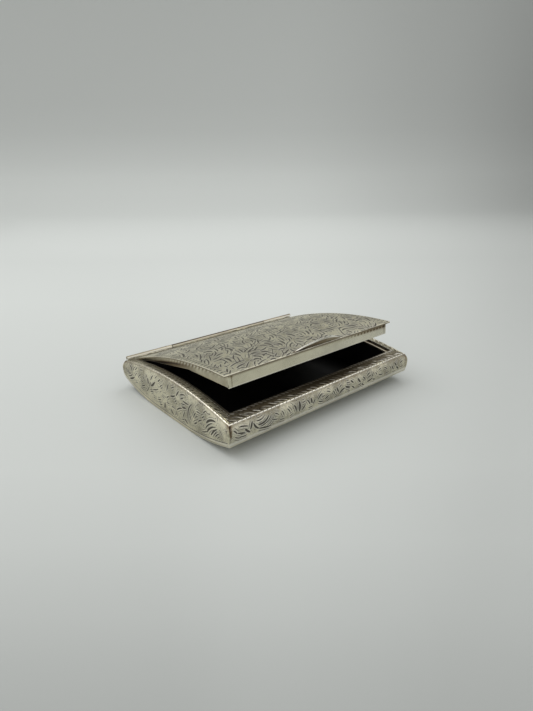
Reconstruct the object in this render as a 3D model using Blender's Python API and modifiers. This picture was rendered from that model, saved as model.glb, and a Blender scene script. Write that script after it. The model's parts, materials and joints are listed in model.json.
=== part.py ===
"""Curved silver cigarette case with an arched, hinged lid that stands a little open.

The case is a shallow lens in section. Its rim rises in a crown from the sides to the middle, and
its floor bows down by a like amount, with a narrow flat to rest on. Four bulging sides meet in
mitred corners. A border with a sunk ledge frames the opening, the arched lid lies flush in it, and
a three-part hinge tube runs along the back. X is the length, -Y the front with the thumb piece.
All lengths are in metres and the floor that the case stands on is z = 0.
"""

import math

import bmesh
import bpy
from mathutils import Matrix, Vector

# Case outline
RIM_LENGTH = 0.1100
RIM_WIDTH = 0.0864
RIM_CROWN = 0.0045
SIDE_HEIGHT = 0.0095
SIDE_BULGE = 0.00145
BULGE_DROP = 0.0037
FOOT_ANGLE = math.radians(65)
FLOOR_BOW = 0.0050
REST_FLAT_WIDTH = 0.024

# Sheet metal and joints
SHEET = 0.0008
SEAM = 0.0003
MITRE_OUTSET = 0.004
MITRE_INSET = 0.012
CUT_OVERRUN = 0.003

# Border and ledge round the opening
FRONT_BORDER_INSET = 0.0057
END_BORDER_INSET = 0.0036
BORDER_SHEET = 0.0008
LEDGE_SHEET = 0.0008
FRONT_LEDGE_WIDTH = 0.0008
END_LEDGE_WIDTH = 0.0019

# Hinge
HINGE_INSET = 0.0014
HINGE_RISE = 0.0014
KNUCKLE_RADIUS = 0.0010
PIN_RADIUS = 0.0005
PIN_CLEARANCE = 0.00008
PIN_RECESS = 0.0005
LEFT_KNUCKLE_LENGTH = 0.0250
RIGHT_KNUCKLE_LENGTH = 0.0219
KNUCKLE_GAP = 0.0003
SOLDER_LIP = 0.0005
RAIL_WIDTH = 0.0029
RAIL_DEPTH = 0.0019
RAIL_BED_WIDTH = 0.0014

# Lid
LID_SHEET = 0.0008
LID_CLEARANCE = 0.0003
FLANGE_SHEET = 0.0006
FLANGE_DEPTH = 0.0047
FLANGE_DRAFT = 0.0006
FRONT_FLANGE_INSET = 0.0008
END_FLANGE_INSET = 0.00235
SIDE_FLANGE_LOW = 0.0004
SIDE_FLANGE_TAIL = 0.0062
SIDE_FLANGE_KNEE = 0.0300
REST_OPENING = math.radians(10.9)

# Thumb piece
THUMB_WIDTH = 0.0264
THUMB_HEIGHT = 0.0030
THUMB_SHEET = 0.0010
THUMB_ROUNDING = 0.0002
THUMB_LEAN = math.radians(12)

# Lining
LINING_SHEET = 0.0006
LINING_SETBACK = 0.0003

# Fineness of the curves
CROWN_STEPS = 18
SIDE_UPPER_STEPS = 3
SIDE_LOWER_STEPS = 7
ROUND_STEPS = 24
THUMB_STEPS = 14

# Worked out from the sizes above
HALF_LENGTH = RIM_LENGTH / 2
HALF_WIDTH = RIM_WIDTH / 2
RIM_Z = SIDE_HEIGHT + FLOOR_BOW
FOOT_BULGE = SIDE_BULGE * math.cos(FOOT_ANGLE)
FOOT_HALF_LENGTH = HALF_LENGTH + FOOT_BULGE
FOOT_HALF_WIDTH = HALF_WIDTH + FOOT_BULGE
FLAT_SHARE = REST_FLAT_WIDTH / 2 / FOOT_HALF_WIDTH
WALL_INNER_LENGTH = HALF_LENGTH - SHEET - SEAM
WALL_INNER_WIDTH = HALF_WIDTH - SHEET - SEAM
BORDER_INNER_LENGTH = HALF_LENGTH - END_BORDER_INSET
BORDER_INNER_FRONT = HALF_WIDTH - FRONT_BORDER_INSET
OPENING_HALF_LENGTH = BORDER_INNER_LENGTH - END_LEDGE_WIDTH
OPENING_FRONT = BORDER_INNER_FRONT - FRONT_LEDGE_WIDTH
LEDGE_DROP = BORDER_SHEET + SEAM
BORDER_MITRE_SHARE = END_BORDER_INSET / FRONT_BORDER_INSET
BEARER_MITRE_SHARE = (HALF_LENGTH - OPENING_HALF_LENGTH) / (HALF_WIDTH - OPENING_FRONT)
HINGE_Y = HALF_WIDTH - HINGE_INSET
HINGE_Z = RIM_Z + HINGE_RISE
RAIL_BACK = WALL_INNER_WIDTH
RAIL_FRONT = RAIL_BACK - RAIL_WIDTH
RAIL_BED_Z = HINGE_Z - KNUCKLE_RADIUS - SEAM
LID_HALF_LENGTH = BORDER_INNER_LENGTH - LID_CLEARANCE
LID_FRONT = BORDER_INNER_FRONT - LID_CLEARANCE
LID_BACK = RAIL_BACK - RAIL_BED_WIDTH - LID_CLEARANCE
FLANGE_HALF_LENGTH = LID_HALF_LENGTH - END_FLANGE_INSET
FLANGE_FRONT = LID_FRONT - FRONT_FLANGE_INSET
LINING_HALF_LENGTH = OPENING_HALF_LENGTH + LINING_SETBACK
LINING_FRONT = OPENING_FRONT + LINING_SETBACK
LINING_BACK = RAIL_FRONT + LINING_SETBACK

# Finishes: base colour, metallic and roughness
ENGRAVED_SILVER = ((0.60, 0.58, 0.52), 1.0, 0.38)
PLAIN_SILVER = ((0.70, 0.68, 0.62), 1.0, 0.28)
HINGE_SILVER = ((0.62, 0.59, 0.53), 1.0, 0.33)
BLACK_LINING = ((0.006, 0.006, 0.006), 0.0, 0.42)


def clear_scene():
    """Removes every object that the file starts with."""
    for obj in list(bpy.data.objects):
        bpy.data.objects.remove(obj, do_unlink=True)


def new_collection(name):
    """A collection linked to the scene."""
    collection = bpy.data.collections.new(name)
    bpy.context.scene.collection.children.link(collection)
    return collection


def give_finish(obj, finish):
    """Gives the object its own metal or lining material."""
    colour, metallic, roughness = finish
    material = bpy.data.materials.new(obj.name + "_finish")
    material.use_nodes = True
    shader = material.node_tree.nodes["Principled BSDF"]
    shader.inputs["Base Color"].default_value = (*colour, 1.0)
    shader.inputs["Metallic"].default_value = metallic
    shader.inputs["Roughness"].default_value = roughness
    material.diffuse_color = (*colour, 1.0)
    obj.data.materials.append(material)


def add_object(name, data, collection, parent=None):
    """Puts a mesh or a curve into the scene as a named object."""
    obj = bpy.data.objects.new(name, data)
    collection.objects.link(obj)
    obj.parent = parent
    return obj


def mesh_object(name, bm, collection, parent=None):
    """Turns a bmesh into a named object."""
    mesh = bpy.data.meshes.new(name)
    bm.to_mesh(mesh)
    bm.free()
    return add_object(name, mesh, collection, parent)


def crown_z(y):
    """Height of the rim's crown, and of the lid's top, at a distance y from the middle."""
    return RIM_Z + RIM_CROWN * (1 - (y / HALF_WIDTH) ** 2)


def bow_share(s):
    """Share of the floor's bow at s, which is -1 to 1 across the case: 1 on the rest flat."""
    outside = max(abs(s) - FLAT_SHARE, 0)
    return 1 - (outside / (1 - FLAT_SHARE)) ** 2


def floor_z(y):
    """Height of the floor sheet's underside."""
    return FLOOR_BOW * (1 - bow_share(y / FOOT_HALF_WIDTH))


def side_profile(t):
    """Outward bulge and depth below the rim, for t from 0 at the rim to 1 at the foot.

    The upper part is a parabola out to the widest line, and below 0 it runs straight up past the
    rim. The lower part is a stretch of an ellipse, from its widest point to the foot angle.
    """
    upper_share = SIDE_UPPER_STEPS / (SIDE_UPPER_STEPS + SIDE_LOWER_STEPS)
    if t < 0:
        return 0, BULGE_DROP * t / upper_share
    if t < upper_share:
        rise = 1 - t / upper_share
        return SIDE_BULGE * (1 - rise ** 2), BULGE_DROP * (1 - rise)
    angle = FOOT_ANGLE * (t - upper_share) / (1 - upper_share)
    fall = (SIDE_HEIGHT - BULGE_DROP) * math.sin(angle) / math.sin(FOOT_ANGLE)
    return SIDE_BULGE * math.cos(angle), BULGE_DROP + fall


def sheet(name, columns, rows, place, facing, thickness, collection, parent=None):
    """A grid shaped by place(u, v), with u and v from -1 to 1, made a sheet of metal behind it.

    The shaped face looks the way of facing, and the thickness lies behind it.
    """
    bm = bmesh.new()
    bmesh.ops.create_grid(bm, x_segments=columns, y_segments=rows, size=1)
    for vert in bm.verts:
        vert.co = place(vert.co.x, vert.co.y)
    bm.normal_update()
    if sum((face.normal * face.calc_area()).dot(facing) for face in bm.faces) < 0:
        bmesh.ops.reverse_faces(bm, faces=bm.faces)
    obj = mesh_object(name, bm, collection, parent)
    wall = obj.modifiers.new("wall", "SOLIDIFY")
    wall.thickness = thickness
    wall.offset = -1
    wall.use_even_offset = True
    return obj


def mitre_wedge(name, half_along, half_across, turn, shares, cutters):
    """A wedge that holds one side of the frame up to its two mitre planes, less half a seam.

    Each end has its own share: how far its plane comes in along the side for a step in across it.
    """
    bm = bmesh.new()
    bmesh.ops.create_cube(bm, size=2)
    low = -MITRE_OUTSET
    high = RIM_Z + RIM_CROWN + MITRE_OUTSET
    for vert in bm.verts:
        reach = MITRE_OUTSET if vert.co.y < 0 else -MITRE_INSET
        share = shares[0] if vert.co.x < 0 else shares[1]
        along = half_along + reach * share - SEAM / 2 * math.hypot(1, share)
        end = math.copysign(along, vert.co.x)
        vert.co = Vector((end, -half_across - reach, low if vert.co.z < 0 else high))
    bmesh.ops.rotate(bm, verts=bm.verts, cent=(0, 0, 0), matrix=Matrix.Rotation(turn, 3, "Z"))
    obj = mesh_object(name, bm, cutters)
    obj.hide_render = True
    obj.display_type = "WIRE"
    return obj


def mitre_wedges(layer, front_share, cutters):
    """The wedges of a layer's four sides, with front corners mitred to its unlike insets."""
    quarter = math.pi / 2
    side_share = 1 / front_share
    ends = (
        ("front", HALF_LENGTH, HALF_WIDTH, 0, (front_share, front_share)),
        ("back", HALF_LENGTH, HALF_WIDTH, 2 * quarter, (1, 1)),
        ("left", HALF_WIDTH, HALF_LENGTH, -quarter, (1, side_share)),
        ("right", HALF_WIDTH, HALF_LENGTH, quarter, (side_share, 1)),
    )
    wedges = {}
    for side, half_along, half_across, turn, shares in ends:
        name = f"{layer}_{side}_wedge"
        wedges[side] = mitre_wedge(name, half_along, half_across, turn, shares, cutters)
    return wedges


def trim(obj, cutter, operation):
    """Keeps what lies in the cutter, or takes the cutter away."""
    cut = obj.modifiers.new("trim by " + cutter.name, "BOOLEAN")
    cut.operation = operation
    cut.object = cutter
    cut.solver = "EXACT"


def keep_inside(obj, cutter):
    trim(obj, cutter, "INTERSECT")


def cut_away(obj, cutter):
    trim(obj, cutter, "DIFFERENCE")


def layer_cutter(name, height, facing, cutters):
    """A thick sheet that follows height(y) with the face that looks the way of facing."""
    reach_x = HALF_LENGTH + MITRE_OUTSET
    reach_y = HALF_WIDTH + MITRE_OUTSET

    def place(u, v):
        return Vector((u * reach_x, v * reach_y, height(v * reach_y)))

    cutter = sheet(name, 1, CROWN_STEPS, place, Vector((0, 0, facing)), CUT_OVERRUN, cutters)
    cutter.hide_render = True
    cutter.display_type = "WIRE"
    return cutter


def outline_curve(name, points, thickness, collection, parent=None):
    """A flat outline with straight sides, filled and given a thickness, as a 2D curve."""
    curve = bpy.data.curves.new(name, "CURVE")
    curve.dimensions = "2D"
    curve.fill_mode = "BOTH"
    curve.extrude = thickness / 2
    spline = curve.splines.new("POLY")
    spline.points.add(len(points) - 1)
    for point, (x, y) in zip(spline.points, points):
        point.co = (x, y, 0, 1)
    spline.use_cyclic_u = True
    return add_object(name, curve, collection, parent)


def bar_along_x(name, section, length, collection, parent=None):
    """A bar whose section is given as (y, z) points, running along X on both sides of x = 0."""
    bar = outline_curve(name, section, length, collection, parent)
    bar.rotation_euler = (math.pi / 2, 0, math.pi / 2)
    return bar


def curve_to_mesh(obj, collection):
    """Replaces a curve object with a welded mesh object of the same name and place."""
    bpy.context.view_layer.update()
    graph = bpy.context.evaluated_depsgraph_get()
    mesh = bpy.data.meshes.new_from_object(obj.evaluated_get(graph))
    bm = bmesh.new()
    bm.from_mesh(mesh)
    bmesh.ops.remove_doubles(bm, verts=bm.verts, dist=SEAM / 10)
    bm.to_mesh(mesh)
    bm.free()
    name, place = obj.name, obj.matrix_world.copy()
    bpy.data.objects.remove(obj, do_unlink=True)
    made = add_object(name, mesh, collection)
    made.matrix_world = place
    return made


def tube_along_x(name, radius, bore, start, end, collection, parent=None):
    """A turned tube along X: its section is closed and screwed once round the axis."""
    bm = bmesh.new()
    half = (end - start) / 2
    corners = ((radius, half), (radius, -half), (bore, -half), (bore, half))
    verts = [bm.verts.new((r, 0, z)) for r, z in corners]
    for first, second in zip(verts, verts[1:] + verts[:1]):
        bm.edges.new((first, second))
    obj = mesh_object(name, bm, collection, parent)
    turned = obj.modifiers.new("turned", "SCREW")
    turned.axis = "Z"
    turned.steps = turned.render_steps = ROUND_STEPS
    turned.use_merge_vertices = True
    turned.merge_threshold = SEAM / 10
    turned.use_smooth_shade = True
    obj.rotation_euler = (0, math.pi / 2, 0)
    obj.location.x = (start + end) / 2
    return obj


def make_walls(wedges, pieces, cutters):
    """The four bulging sides: flush with the crown above, on the floor sheet below, and mitred."""
    def floor_seat(y):
        return floor_z(y) + SHEET + SEAM

    above = layer_cutter("above_crown", crown_z, -1, cutters)
    below = layer_cutter("below_floor_seat", floor_seat, 1, cutters)
    rows = SIDE_UPPER_STEPS + SIDE_LOWER_STEPS
    reach_share = 1 + MITRE_OUTSET / HALF_WIDTH

    def profile_at(v):
        return side_profile((1 + 1 / rows) * (1 - v) / 2 - 1 / rows)

    def long_side(facing):
        def place(u, v):
            bulge, depth = profile_at(v)
            return Vector((u * (HALF_LENGTH + MITRE_OUTSET), facing * (HALF_WIDTH + bulge), RIM_Z - depth))
        return place

    def end_side(facing):
        def place(u, v):
            bulge, depth = profile_at(v)
            s = u * reach_share
            low = depth / SIDE_HEIGHT
            lift = RIM_CROWN * (1 - s * s) * (1 - low) - FLOOR_BOW * bow_share(s) * low
            return Vector((facing * (HALF_LENGTH + bulge), s * (HALF_WIDTH + bulge), RIM_Z - depth + lift))
        return place

    sides = (
        ("front_wall", 1, long_side(-1), (0, -1, 0), "front"),
        ("back_wall", 1, long_side(1), (0, 1, 0), "back"),
        ("left_end_wall", CROWN_STEPS, end_side(-1), (-1, 0, 0), "left"),
        ("right_end_wall", CROWN_STEPS, end_side(1), (1, 0, 0), "right"),
    )
    for name, columns, place, facing, wedge in sides:
        wall = sheet(name, columns, rows + 1, place, Vector(facing), SHEET, pieces)
        cut_away(wall, above)
        cut_away(wall, below)
        keep_inside(wall, wedges[wedge])
        give_finish(wall, ENGRAVED_SILVER)


def make_bottom(pieces):
    """The bowed floor sheet, with its outer face down and a flat strip along its middle."""
    flat = REST_FLAT_WIDTH / 2
    steps = CROWN_STEPS / 2

    def place(u, v):
        step = abs(v) * steps
        bowed = flat + (FOOT_HALF_WIDTH - flat) * (step - 1) / (steps - 1)
        y = math.copysign(flat * step if step < 1 else bowed, v)
        return Vector((u * FOOT_HALF_LENGTH, y, floor_z(y)))

    bottom = sheet("bottom_panel", 1, CROWN_STEPS, place, Vector((0, 0, -1)), SHEET, pieces)
    give_finish(bottom, PLAIN_SILVER)


def deck_place(low_x, high_x, low_y, high_y, drop):
    """A place function for a strip that follows the crown, dropped below it."""
    def place(u, v):
        x = low_x + (high_x - low_x) * (u + 1) / 2
        y = low_y + (high_y - low_y) * (v + 1) / 2
        return Vector((x, y, crown_z(y) - drop))
    return place


def make_frame_strips(pieces, cutters):
    """The engraved border strips and the ledge strips under them, mitred at the corners."""
    up = Vector((0, 0, 1))
    reach_x = HALF_LENGTH + MITRE_OUTSET
    reach_y = HALF_WIDTH + MITRE_OUTSET
    layers = (
        ("border", BORDER_INNER_LENGTH, BORDER_INNER_FRONT, 0, BORDER_SHEET, BORDER_MITRE_SHARE),
        ("bearer", OPENING_HALF_LENGTH, OPENING_FRONT, LEDGE_DROP, LEDGE_SHEET, BEARER_MITRE_SHARE),
    )
    for layer, inner_x, inner_y, drop, thickness, share in layers:
        wedges = mitre_wedges(layer, share, cutters)
        strips = (
            ("front", 1, 3, (-reach_x, reach_x, -WALL_INNER_WIDTH, -inner_y)),
            ("left", 1, CROWN_STEPS, (-WALL_INNER_LENGTH, -inner_x, -reach_y, reach_y)),
            ("right", 1, CROWN_STEPS, (inner_x, WALL_INNER_LENGTH, -reach_y, reach_y)),
        )
        for side, columns, rows, spans in strips:
            place = deck_place(*spans, drop)
            strip = sheet(f"{layer}_{side}", columns, rows, place, up, thickness, pieces)
            keep_inside(strip, wedges[side])
            give_finish(strip, ENGRAVED_SILVER if layer == "border" else PLAIN_SILVER)


def make_hinge_rail(wedges, pieces):
    """The back strip: a bed under the hinge tubes and, before it, a seat for the lid's back edge."""
    bed_front = RAIL_BACK - RAIL_BED_WIDTH
    seat_z = crown_z(LID_BACK) - LID_SHEET - LID_CLEARANCE
    low_z = RIM_Z - RAIL_DEPTH
    section = (
        (RAIL_FRONT, low_z), (RAIL_BACK, low_z), (RAIL_BACK, RAIL_BED_Z),
        (bed_front, RAIL_BED_Z), (bed_front, seat_z), (RAIL_FRONT, seat_z),
    )
    bar = bar_along_x("hinge_rail", section, RIM_LENGTH, pieces)
    rail = curve_to_mesh(bar, pieces)
    keep_inside(rail, wedges["back"])
    give_finish(rail, PLAIN_SILVER)


def make_hinge(pieces, lid_axis):
    """Two fixed knuckles, the pin through all three, and the lid's knuckle with its solder lip."""
    bore = PIN_RADIUS + PIN_CLEARANCE
    left_joint = LEFT_KNUCKLE_LENGTH - HALF_LENGTH
    right_joint = HALF_LENGTH - RIGHT_KNUCKLE_LENGTH
    fixed = (
        ("hinge_knuckle_left", -HALF_LENGTH, left_joint),
        ("hinge_knuckle_right", right_joint, HALF_LENGTH),
    )
    for name, start, end in fixed:
        knuckle = tube_along_x(name, KNUCKLE_RADIUS, bore, start, end, pieces)
        knuckle.location.yz = HINGE_Y, HINGE_Z
        give_finish(knuckle, HINGE_SILVER)

    bm = bmesh.new()
    pin_length = RIM_LENGTH - 2 * PIN_RECESS
    bmesh.ops.create_cone(
        bm, cap_ends=True, segments=ROUND_STEPS, radius1=PIN_RADIUS, radius2=PIN_RADIUS, depth=pin_length
    )
    pin = mesh_object("hinge_pin", bm, pieces)
    pin.rotation_euler = (0, math.pi / 2, 0)
    pin.location = (0, HINGE_Y, HINGE_Z)
    give_finish(pin, HINGE_SILVER)

    start = left_joint + KNUCKLE_GAP
    end = right_joint - KNUCKLE_GAP
    centre = tube_along_x("hinge_knuckle_centre", KNUCKLE_RADIUS, bore, start, end, pieces, lid_axis)
    lip = make_solder_lip(start, end, bore, lid_axis)
    join = centre.modifiers.new("solder lip", "BOOLEAN")
    join.operation = "UNION"
    join.object = lip
    join.solver = "EXACT"
    give_finish(centre, HINGE_SILVER)


def make_solder_lip(start, end, bore, lid_axis):
    """A narrow lip from the lid's knuckle towards the lid's back edge, used as a joined shape."""
    toward = Vector((0, LID_BACK - HINGE_Y, crown_z(LID_BACK) - SOLDER_LIP - HINGE_Z))
    inner = (bore + KNUCKLE_RADIUS) / 2
    outer = toward.length - SEAM
    middle_x = (start + end) / 2
    bm = bmesh.new()
    bmesh.ops.create_cube(bm, size=1)
    size = (end - start - 2 * KNUCKLE_GAP, outer - inner, SOLDER_LIP)
    bmesh.ops.scale(bm, verts=bm.verts, vec=size)
    bmesh.ops.translate(bm, verts=bm.verts, vec=(0, (inner + outer) / 2, 0))
    tilt = math.atan2(toward.z, toward.y)
    bmesh.ops.rotate(bm, verts=bm.verts, cent=(0, 0, 0), matrix=Matrix.Rotation(tilt, 3, "X"))
    bmesh.ops.translate(bm, verts=bm.verts, vec=(middle_x, 0, 0))
    lip = mesh_object("solder_lip_shape", bm, bpy.data.collections["joined_shapes"], lid_axis)
    lip.hide_render = True
    lip.display_type = "WIRE"
    return lip


def make_lid_axis(pieces):
    """An empty on the hinge's axis, turned to the opening at which the lid stands."""
    axis = bpy.data.objects.new("lid_axis", None)
    pieces.objects.link(axis)
    axis.empty_display_size = KNUCKLE_RADIUS
    axis.location = (0, HINGE_Y, HINGE_Z)
    axis.rotation_euler = (-REST_OPENING, 0, 0)
    return axis


def from_axis(place):
    """Shifts a place function of the closed lid to the hinge axis's own frame."""
    shift = Vector((0, HINGE_Y, HINGE_Z))

    def shifted(u, v):
        return place(u, v) - shift
    return shifted


def make_lid_plate(pieces, lid_axis):
    """The arched lid sheet, flush with the border when it is closed."""
    place = deck_place(-LID_HALF_LENGTH, LID_HALF_LENGTH, -LID_FRONT, LID_BACK, 0)
    plate = sheet(
        "lid_plate", 1, CROWN_STEPS, from_axis(place), Vector((0, 0, 1)), LID_SHEET, pieces, lid_axis
    )
    give_finish(plate, ENGRAVED_SILVER)


def side_flange_low(y):
    """Lower edge of a side flange: level along the back, then falling to the front corner."""
    front = -FLANGE_FRONT
    fall = min(max((front + SIDE_FLANGE_KNEE - y) / SIDE_FLANGE_KNEE, 0), 1)
    return RIM_Z - SIDE_FLANGE_LOW - (FLANGE_DEPTH - SIDE_FLANGE_LOW) * fall


def make_lid_flanges(pieces, lid_axis):
    """The drafted front flange and the two side flanges, a seam below the lid sheet."""
    under = LID_SHEET + SEAM
    corner = FLANGE_FRONT - FLANGE_DRAFT

    def front_place(u, v):
        y = -corner - FLANGE_DRAFT * (v + 1) / 2
        low = RIM_Z - FLANGE_DEPTH
        high = crown_z(-FLANGE_FRONT) - under
        return Vector((u * FLANGE_HALF_LENGTH, y, low + (high - low) * (v + 1) / 2))

    def side_place(facing):
        front = -corner + FLANGE_SHEET + SEAM
        back = LID_BACK - SIDE_FLANGE_TAIL

        def place(u, v):
            y = front + (back - front) * (u + 1) / 2
            high = crown_z(y) - under
            low = side_flange_low(y)
            return Vector((facing * FLANGE_HALF_LENGTH, y, low + (high - low) * (v + 1) / 2))
        return place

    flanges = (
        ("lid_flange_front", 1, front_place, (0, -1, 0)),
        ("lid_flange_left", CROWN_STEPS, side_place(-1), (-1, 0, 0)),
        ("lid_flange_right", CROWN_STEPS, side_place(1), (1, 0, 0)),
    )
    for name, columns, place, facing in flanges:
        flange = sheet(name, columns, 1, from_axis(place), Vector(facing), FLANGE_SHEET, pieces, lid_axis)
        give_finish(flange, PLAIN_SILVER)


def make_thumb_piece(pieces, lid_axis):
    """A low crescent on the lid's front edge, leaning forward, with blunt ends and softened edges."""
    half = THUMB_WIDTH / 2 - THUMB_ROUNDING
    height = THUMB_HEIGHT - 2 * THUMB_ROUNDING
    rise = height - THUMB_ROUNDING
    radius = (half * half + rise * rise) / (2 * rise)
    spread = math.asin(half / radius)
    points = [(half, 0)]
    for step in range(THUMB_STEPS + 1):
        angle = spread * (1 - 2 * step / THUMB_STEPS)
        points.append((radius * math.sin(angle), height - radius * (1 - math.cos(angle))))
    points.append((-half, 0))
    thumb = outline_curve("thumb_piece", points, THUMB_SHEET - 2 * THUMB_ROUNDING, pieces, lid_axis)
    thumb.data.bevel_depth = THUMB_ROUNDING
    thumb.data.bevel_resolution = 1
    thumb.rotation_euler = (math.pi / 2 + THUMB_LEAN, 0, 0)
    back_off = THUMB_SHEET / 2
    stand_y = -LID_FRONT + back_off
    foot = THUMB_ROUNDING + SEAM + back_off * math.sin(THUMB_LEAN)
    thumb.location = (0, stand_y - HINGE_Y, crown_z(stand_y + back_off) + foot - HINGE_Z)
    give_finish(thumb, PLAIN_SILVER)


def make_lining(pieces):
    """The black lining: a bowed floor and four upright sides that stop under the ledge."""
    top_drop = LEDGE_DROP + LEDGE_SHEET + SEAM
    floor_rise = SHEET + SEAM
    side_rise = floor_rise + SEAM
    inner_length = LINING_HALF_LENGTH - SEAM
    inner_front = -LINING_FRONT + SEAM
    inner_back = LINING_BACK - SEAM

    def floor_place(u, v):
        y = inner_front + (inner_back - inner_front) * (v + 1) / 2
        return Vector((u * inner_length, y, floor_z(y) + floor_rise))

    def long_place(y, outer_y):
        def place(u, v):
            low = floor_z(outer_y) + side_rise
            high = min(crown_z(outer_y) - top_drop, RIM_Z - RAIL_DEPTH - SEAM if y > 0 else RIM_Z)
            return Vector((u * (LINING_HALF_LENGTH + LINING_SHEET), y, low + (high - low) * (v + 1) / 2))
        return place

    def end_place(facing):
        def place(u, v):
            y = inner_front + (inner_back - inner_front) * (u + 1) / 2
            low = floor_z(y) + side_rise
            high = crown_z(y) - top_drop
            return Vector((facing * LINING_HALF_LENGTH, y, low + (high - low) * (v + 1) / 2))
        return place

    front_outer = LINING_FRONT + LINING_SHEET
    back_outer = LINING_BACK + LINING_SHEET
    sheets = (
        ("lining_floor", 1, CROWN_STEPS, floor_place, (0, 0, -1)),
        ("lining_front", 1, 1, long_place(-front_outer, front_outer), (0, -1, 0)),
        ("lining_back", 1, 1, long_place(back_outer, back_outer), (0, 1, 0)),
        ("lining_left", CROWN_STEPS, 1, end_place(-1), (1, 0, 0)),
        ("lining_right", CROWN_STEPS, 1, end_place(1), (-1, 0, 0)),
    )
    for name, columns, rows, place, facing in sheets:
        lining = sheet(name, columns, rows, place, Vector(facing), LINING_SHEET, pieces)
        give_finish(lining, BLACK_LINING)


def main():
    clear_scene()
    pieces = new_collection("cigarette_case")
    cutters = new_collection("cutters")
    new_collection("joined_shapes")
    wedges = mitre_wedges("wall", 1, cutters)
    lid_axis = make_lid_axis(pieces)
    make_walls(wedges, pieces, cutters)
    make_bottom(pieces)
    make_frame_strips(pieces, cutters)
    make_hinge_rail(wedges, pieces)
    make_hinge(pieces, lid_axis)
    make_lid_plate(pieces, lid_axis)
    make_lid_flanges(pieces, lid_axis)
    make_thumb_piece(pieces, lid_axis)
    make_lining(pieces)


main()
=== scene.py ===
"""Dresses the fixed frame of a curved silver cigarette case in engraved, aged and rubbed silver.

Every visible sheet, strip, tube and flange is rebuilt as a fine surface that follows the frame's
own sizes. Scrolls, leaves and hatching are drawn as tapered cuts on a sheet of numbers, pressed into
the surfaces as real grooves, and kept on their points so that the silver darkens in them. A length
is in metres and an angle in radians. X runs along the hinge and the thumb piece is at -Y.
"""

import json
import math

import bpy
import numpy as np
from bpy.props import FloatProperty, FloatVectorProperty, PointerProperty
from mathutils import Matrix, Vector


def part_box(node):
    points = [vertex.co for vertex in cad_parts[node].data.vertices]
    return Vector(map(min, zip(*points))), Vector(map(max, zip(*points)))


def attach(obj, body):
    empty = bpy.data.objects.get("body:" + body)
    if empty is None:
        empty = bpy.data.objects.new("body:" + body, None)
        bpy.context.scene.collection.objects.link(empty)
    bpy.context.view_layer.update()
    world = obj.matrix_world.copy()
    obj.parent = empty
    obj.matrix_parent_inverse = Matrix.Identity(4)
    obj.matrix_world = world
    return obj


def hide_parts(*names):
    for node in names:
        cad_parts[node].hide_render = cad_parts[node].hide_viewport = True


bl_info = {
    "name": "Engraved cigarette case",
    "version": (1, 0, 0),
    "blender": (4, 5, 0),
    "location": "View3D > Sidebar > Cigarette case",
    "description": "Builds the engraved silver surfaces of a curved cigarette case round its frame",
    "category": "Object",
}

MILLIMETRE = 0.001

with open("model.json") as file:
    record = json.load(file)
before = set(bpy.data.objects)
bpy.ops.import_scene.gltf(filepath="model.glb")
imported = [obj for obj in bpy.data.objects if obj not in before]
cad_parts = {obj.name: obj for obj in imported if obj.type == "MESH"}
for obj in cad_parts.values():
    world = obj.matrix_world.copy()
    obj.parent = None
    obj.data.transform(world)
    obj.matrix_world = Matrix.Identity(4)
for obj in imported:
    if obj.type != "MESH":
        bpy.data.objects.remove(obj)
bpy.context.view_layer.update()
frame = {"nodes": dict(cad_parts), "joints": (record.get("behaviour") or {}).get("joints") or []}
hinge = frame["joints"][0]


def size_prop(name, description, default):
    """A length in metres that a user may change."""
    return FloatProperty(name=name, description=description, default=default, unit="LENGTH", precision=5)


def colour_prop(name, description, default):
    """A linear colour that a user may change."""
    return FloatVectorProperty(name=name, description=description, default=default, subtype="COLOR", size=3)


class CaseSizes(bpy.types.PropertyGroup):
    """Outline of the case, read from the frame where a node gives it."""

    half_length: size_prop("Half length", "Half the rim's length", -float(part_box("hinge_knuckle_left")[0][0]))
    half_width: size_prop("Half width", "Half the rim's width", 0.0432)
    rim_height: size_prop("Rim height", "Height of the rim's front and back edge", 0.0145)
    rim_crown: size_prop("Rim crown", "Rise of the rim and lid from the edge to the middle", 0.0045)
    side_height: size_prop("Side height", "Height of the front side above the floor sheet's edge", 0.0095)
    side_bulge: size_prop("Side bulge", "How far the sides bulge past the rim", 0.00145)
    bulge_drop: size_prop("Bulge drop", "Depth of the widest line below the rim", 0.0037)
    foot_angle: FloatProperty(
        name="Foot angle", description="Where the lower side stops on its ellipse", default=math.radians(65),
        subtype="ANGLE",
    )
    floor_bow: size_prop("Floor bow", "Rise of the floor sheet from the middle to its edges", 0.0050)
    rest_half_width: size_prop("Rest half width", "Half the width of the flat strip", 0.0120)
    sheet: size_prop("Sheet", "Thickness of the silver sheet", 0.0008)
    border_front: size_prop("Front border", "Distance from the front rim to the lid's seat", 0.0057)
    border_end: size_prop("End border", "Distance from an end's rim to the lid's seat", 0.0036)
    ledge_front: size_prop("Front ledge", "Width of the ledge before the lid's front edge", 0.0008)
    ledge_end: size_prop("End ledge", "Width of the ledge under the lid's ends", 0.0019)
    ledge_drop: size_prop("Ledge drop", "Depth of the ledge below the border", 0.0011)
    lid_gap: size_prop("Lid gap", "Running gap round the lid", 0.0003)


def crown_height(sizes, y):
    """Height of the border and of the closed lid's top at y: a parabola above the rim's edges."""
    return sizes.rim_height + sizes.rim_crown * (1 - (y / sizes.half_width) ** 2)


def crown_normal(sizes, y):
    """Unit normals of the crown as (y, z) parts, from the parabola's slope."""
    slope = 2 * sizes.rim_crown * y / sizes.half_width ** 2
    size = np.hypot(slope, 1)
    return slope / size, 1 / size


def foot_bulge(sizes):
    """How far the floor sheet's edge lies past the rim."""
    return sizes.side_bulge * math.cos(sizes.foot_angle)


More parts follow.
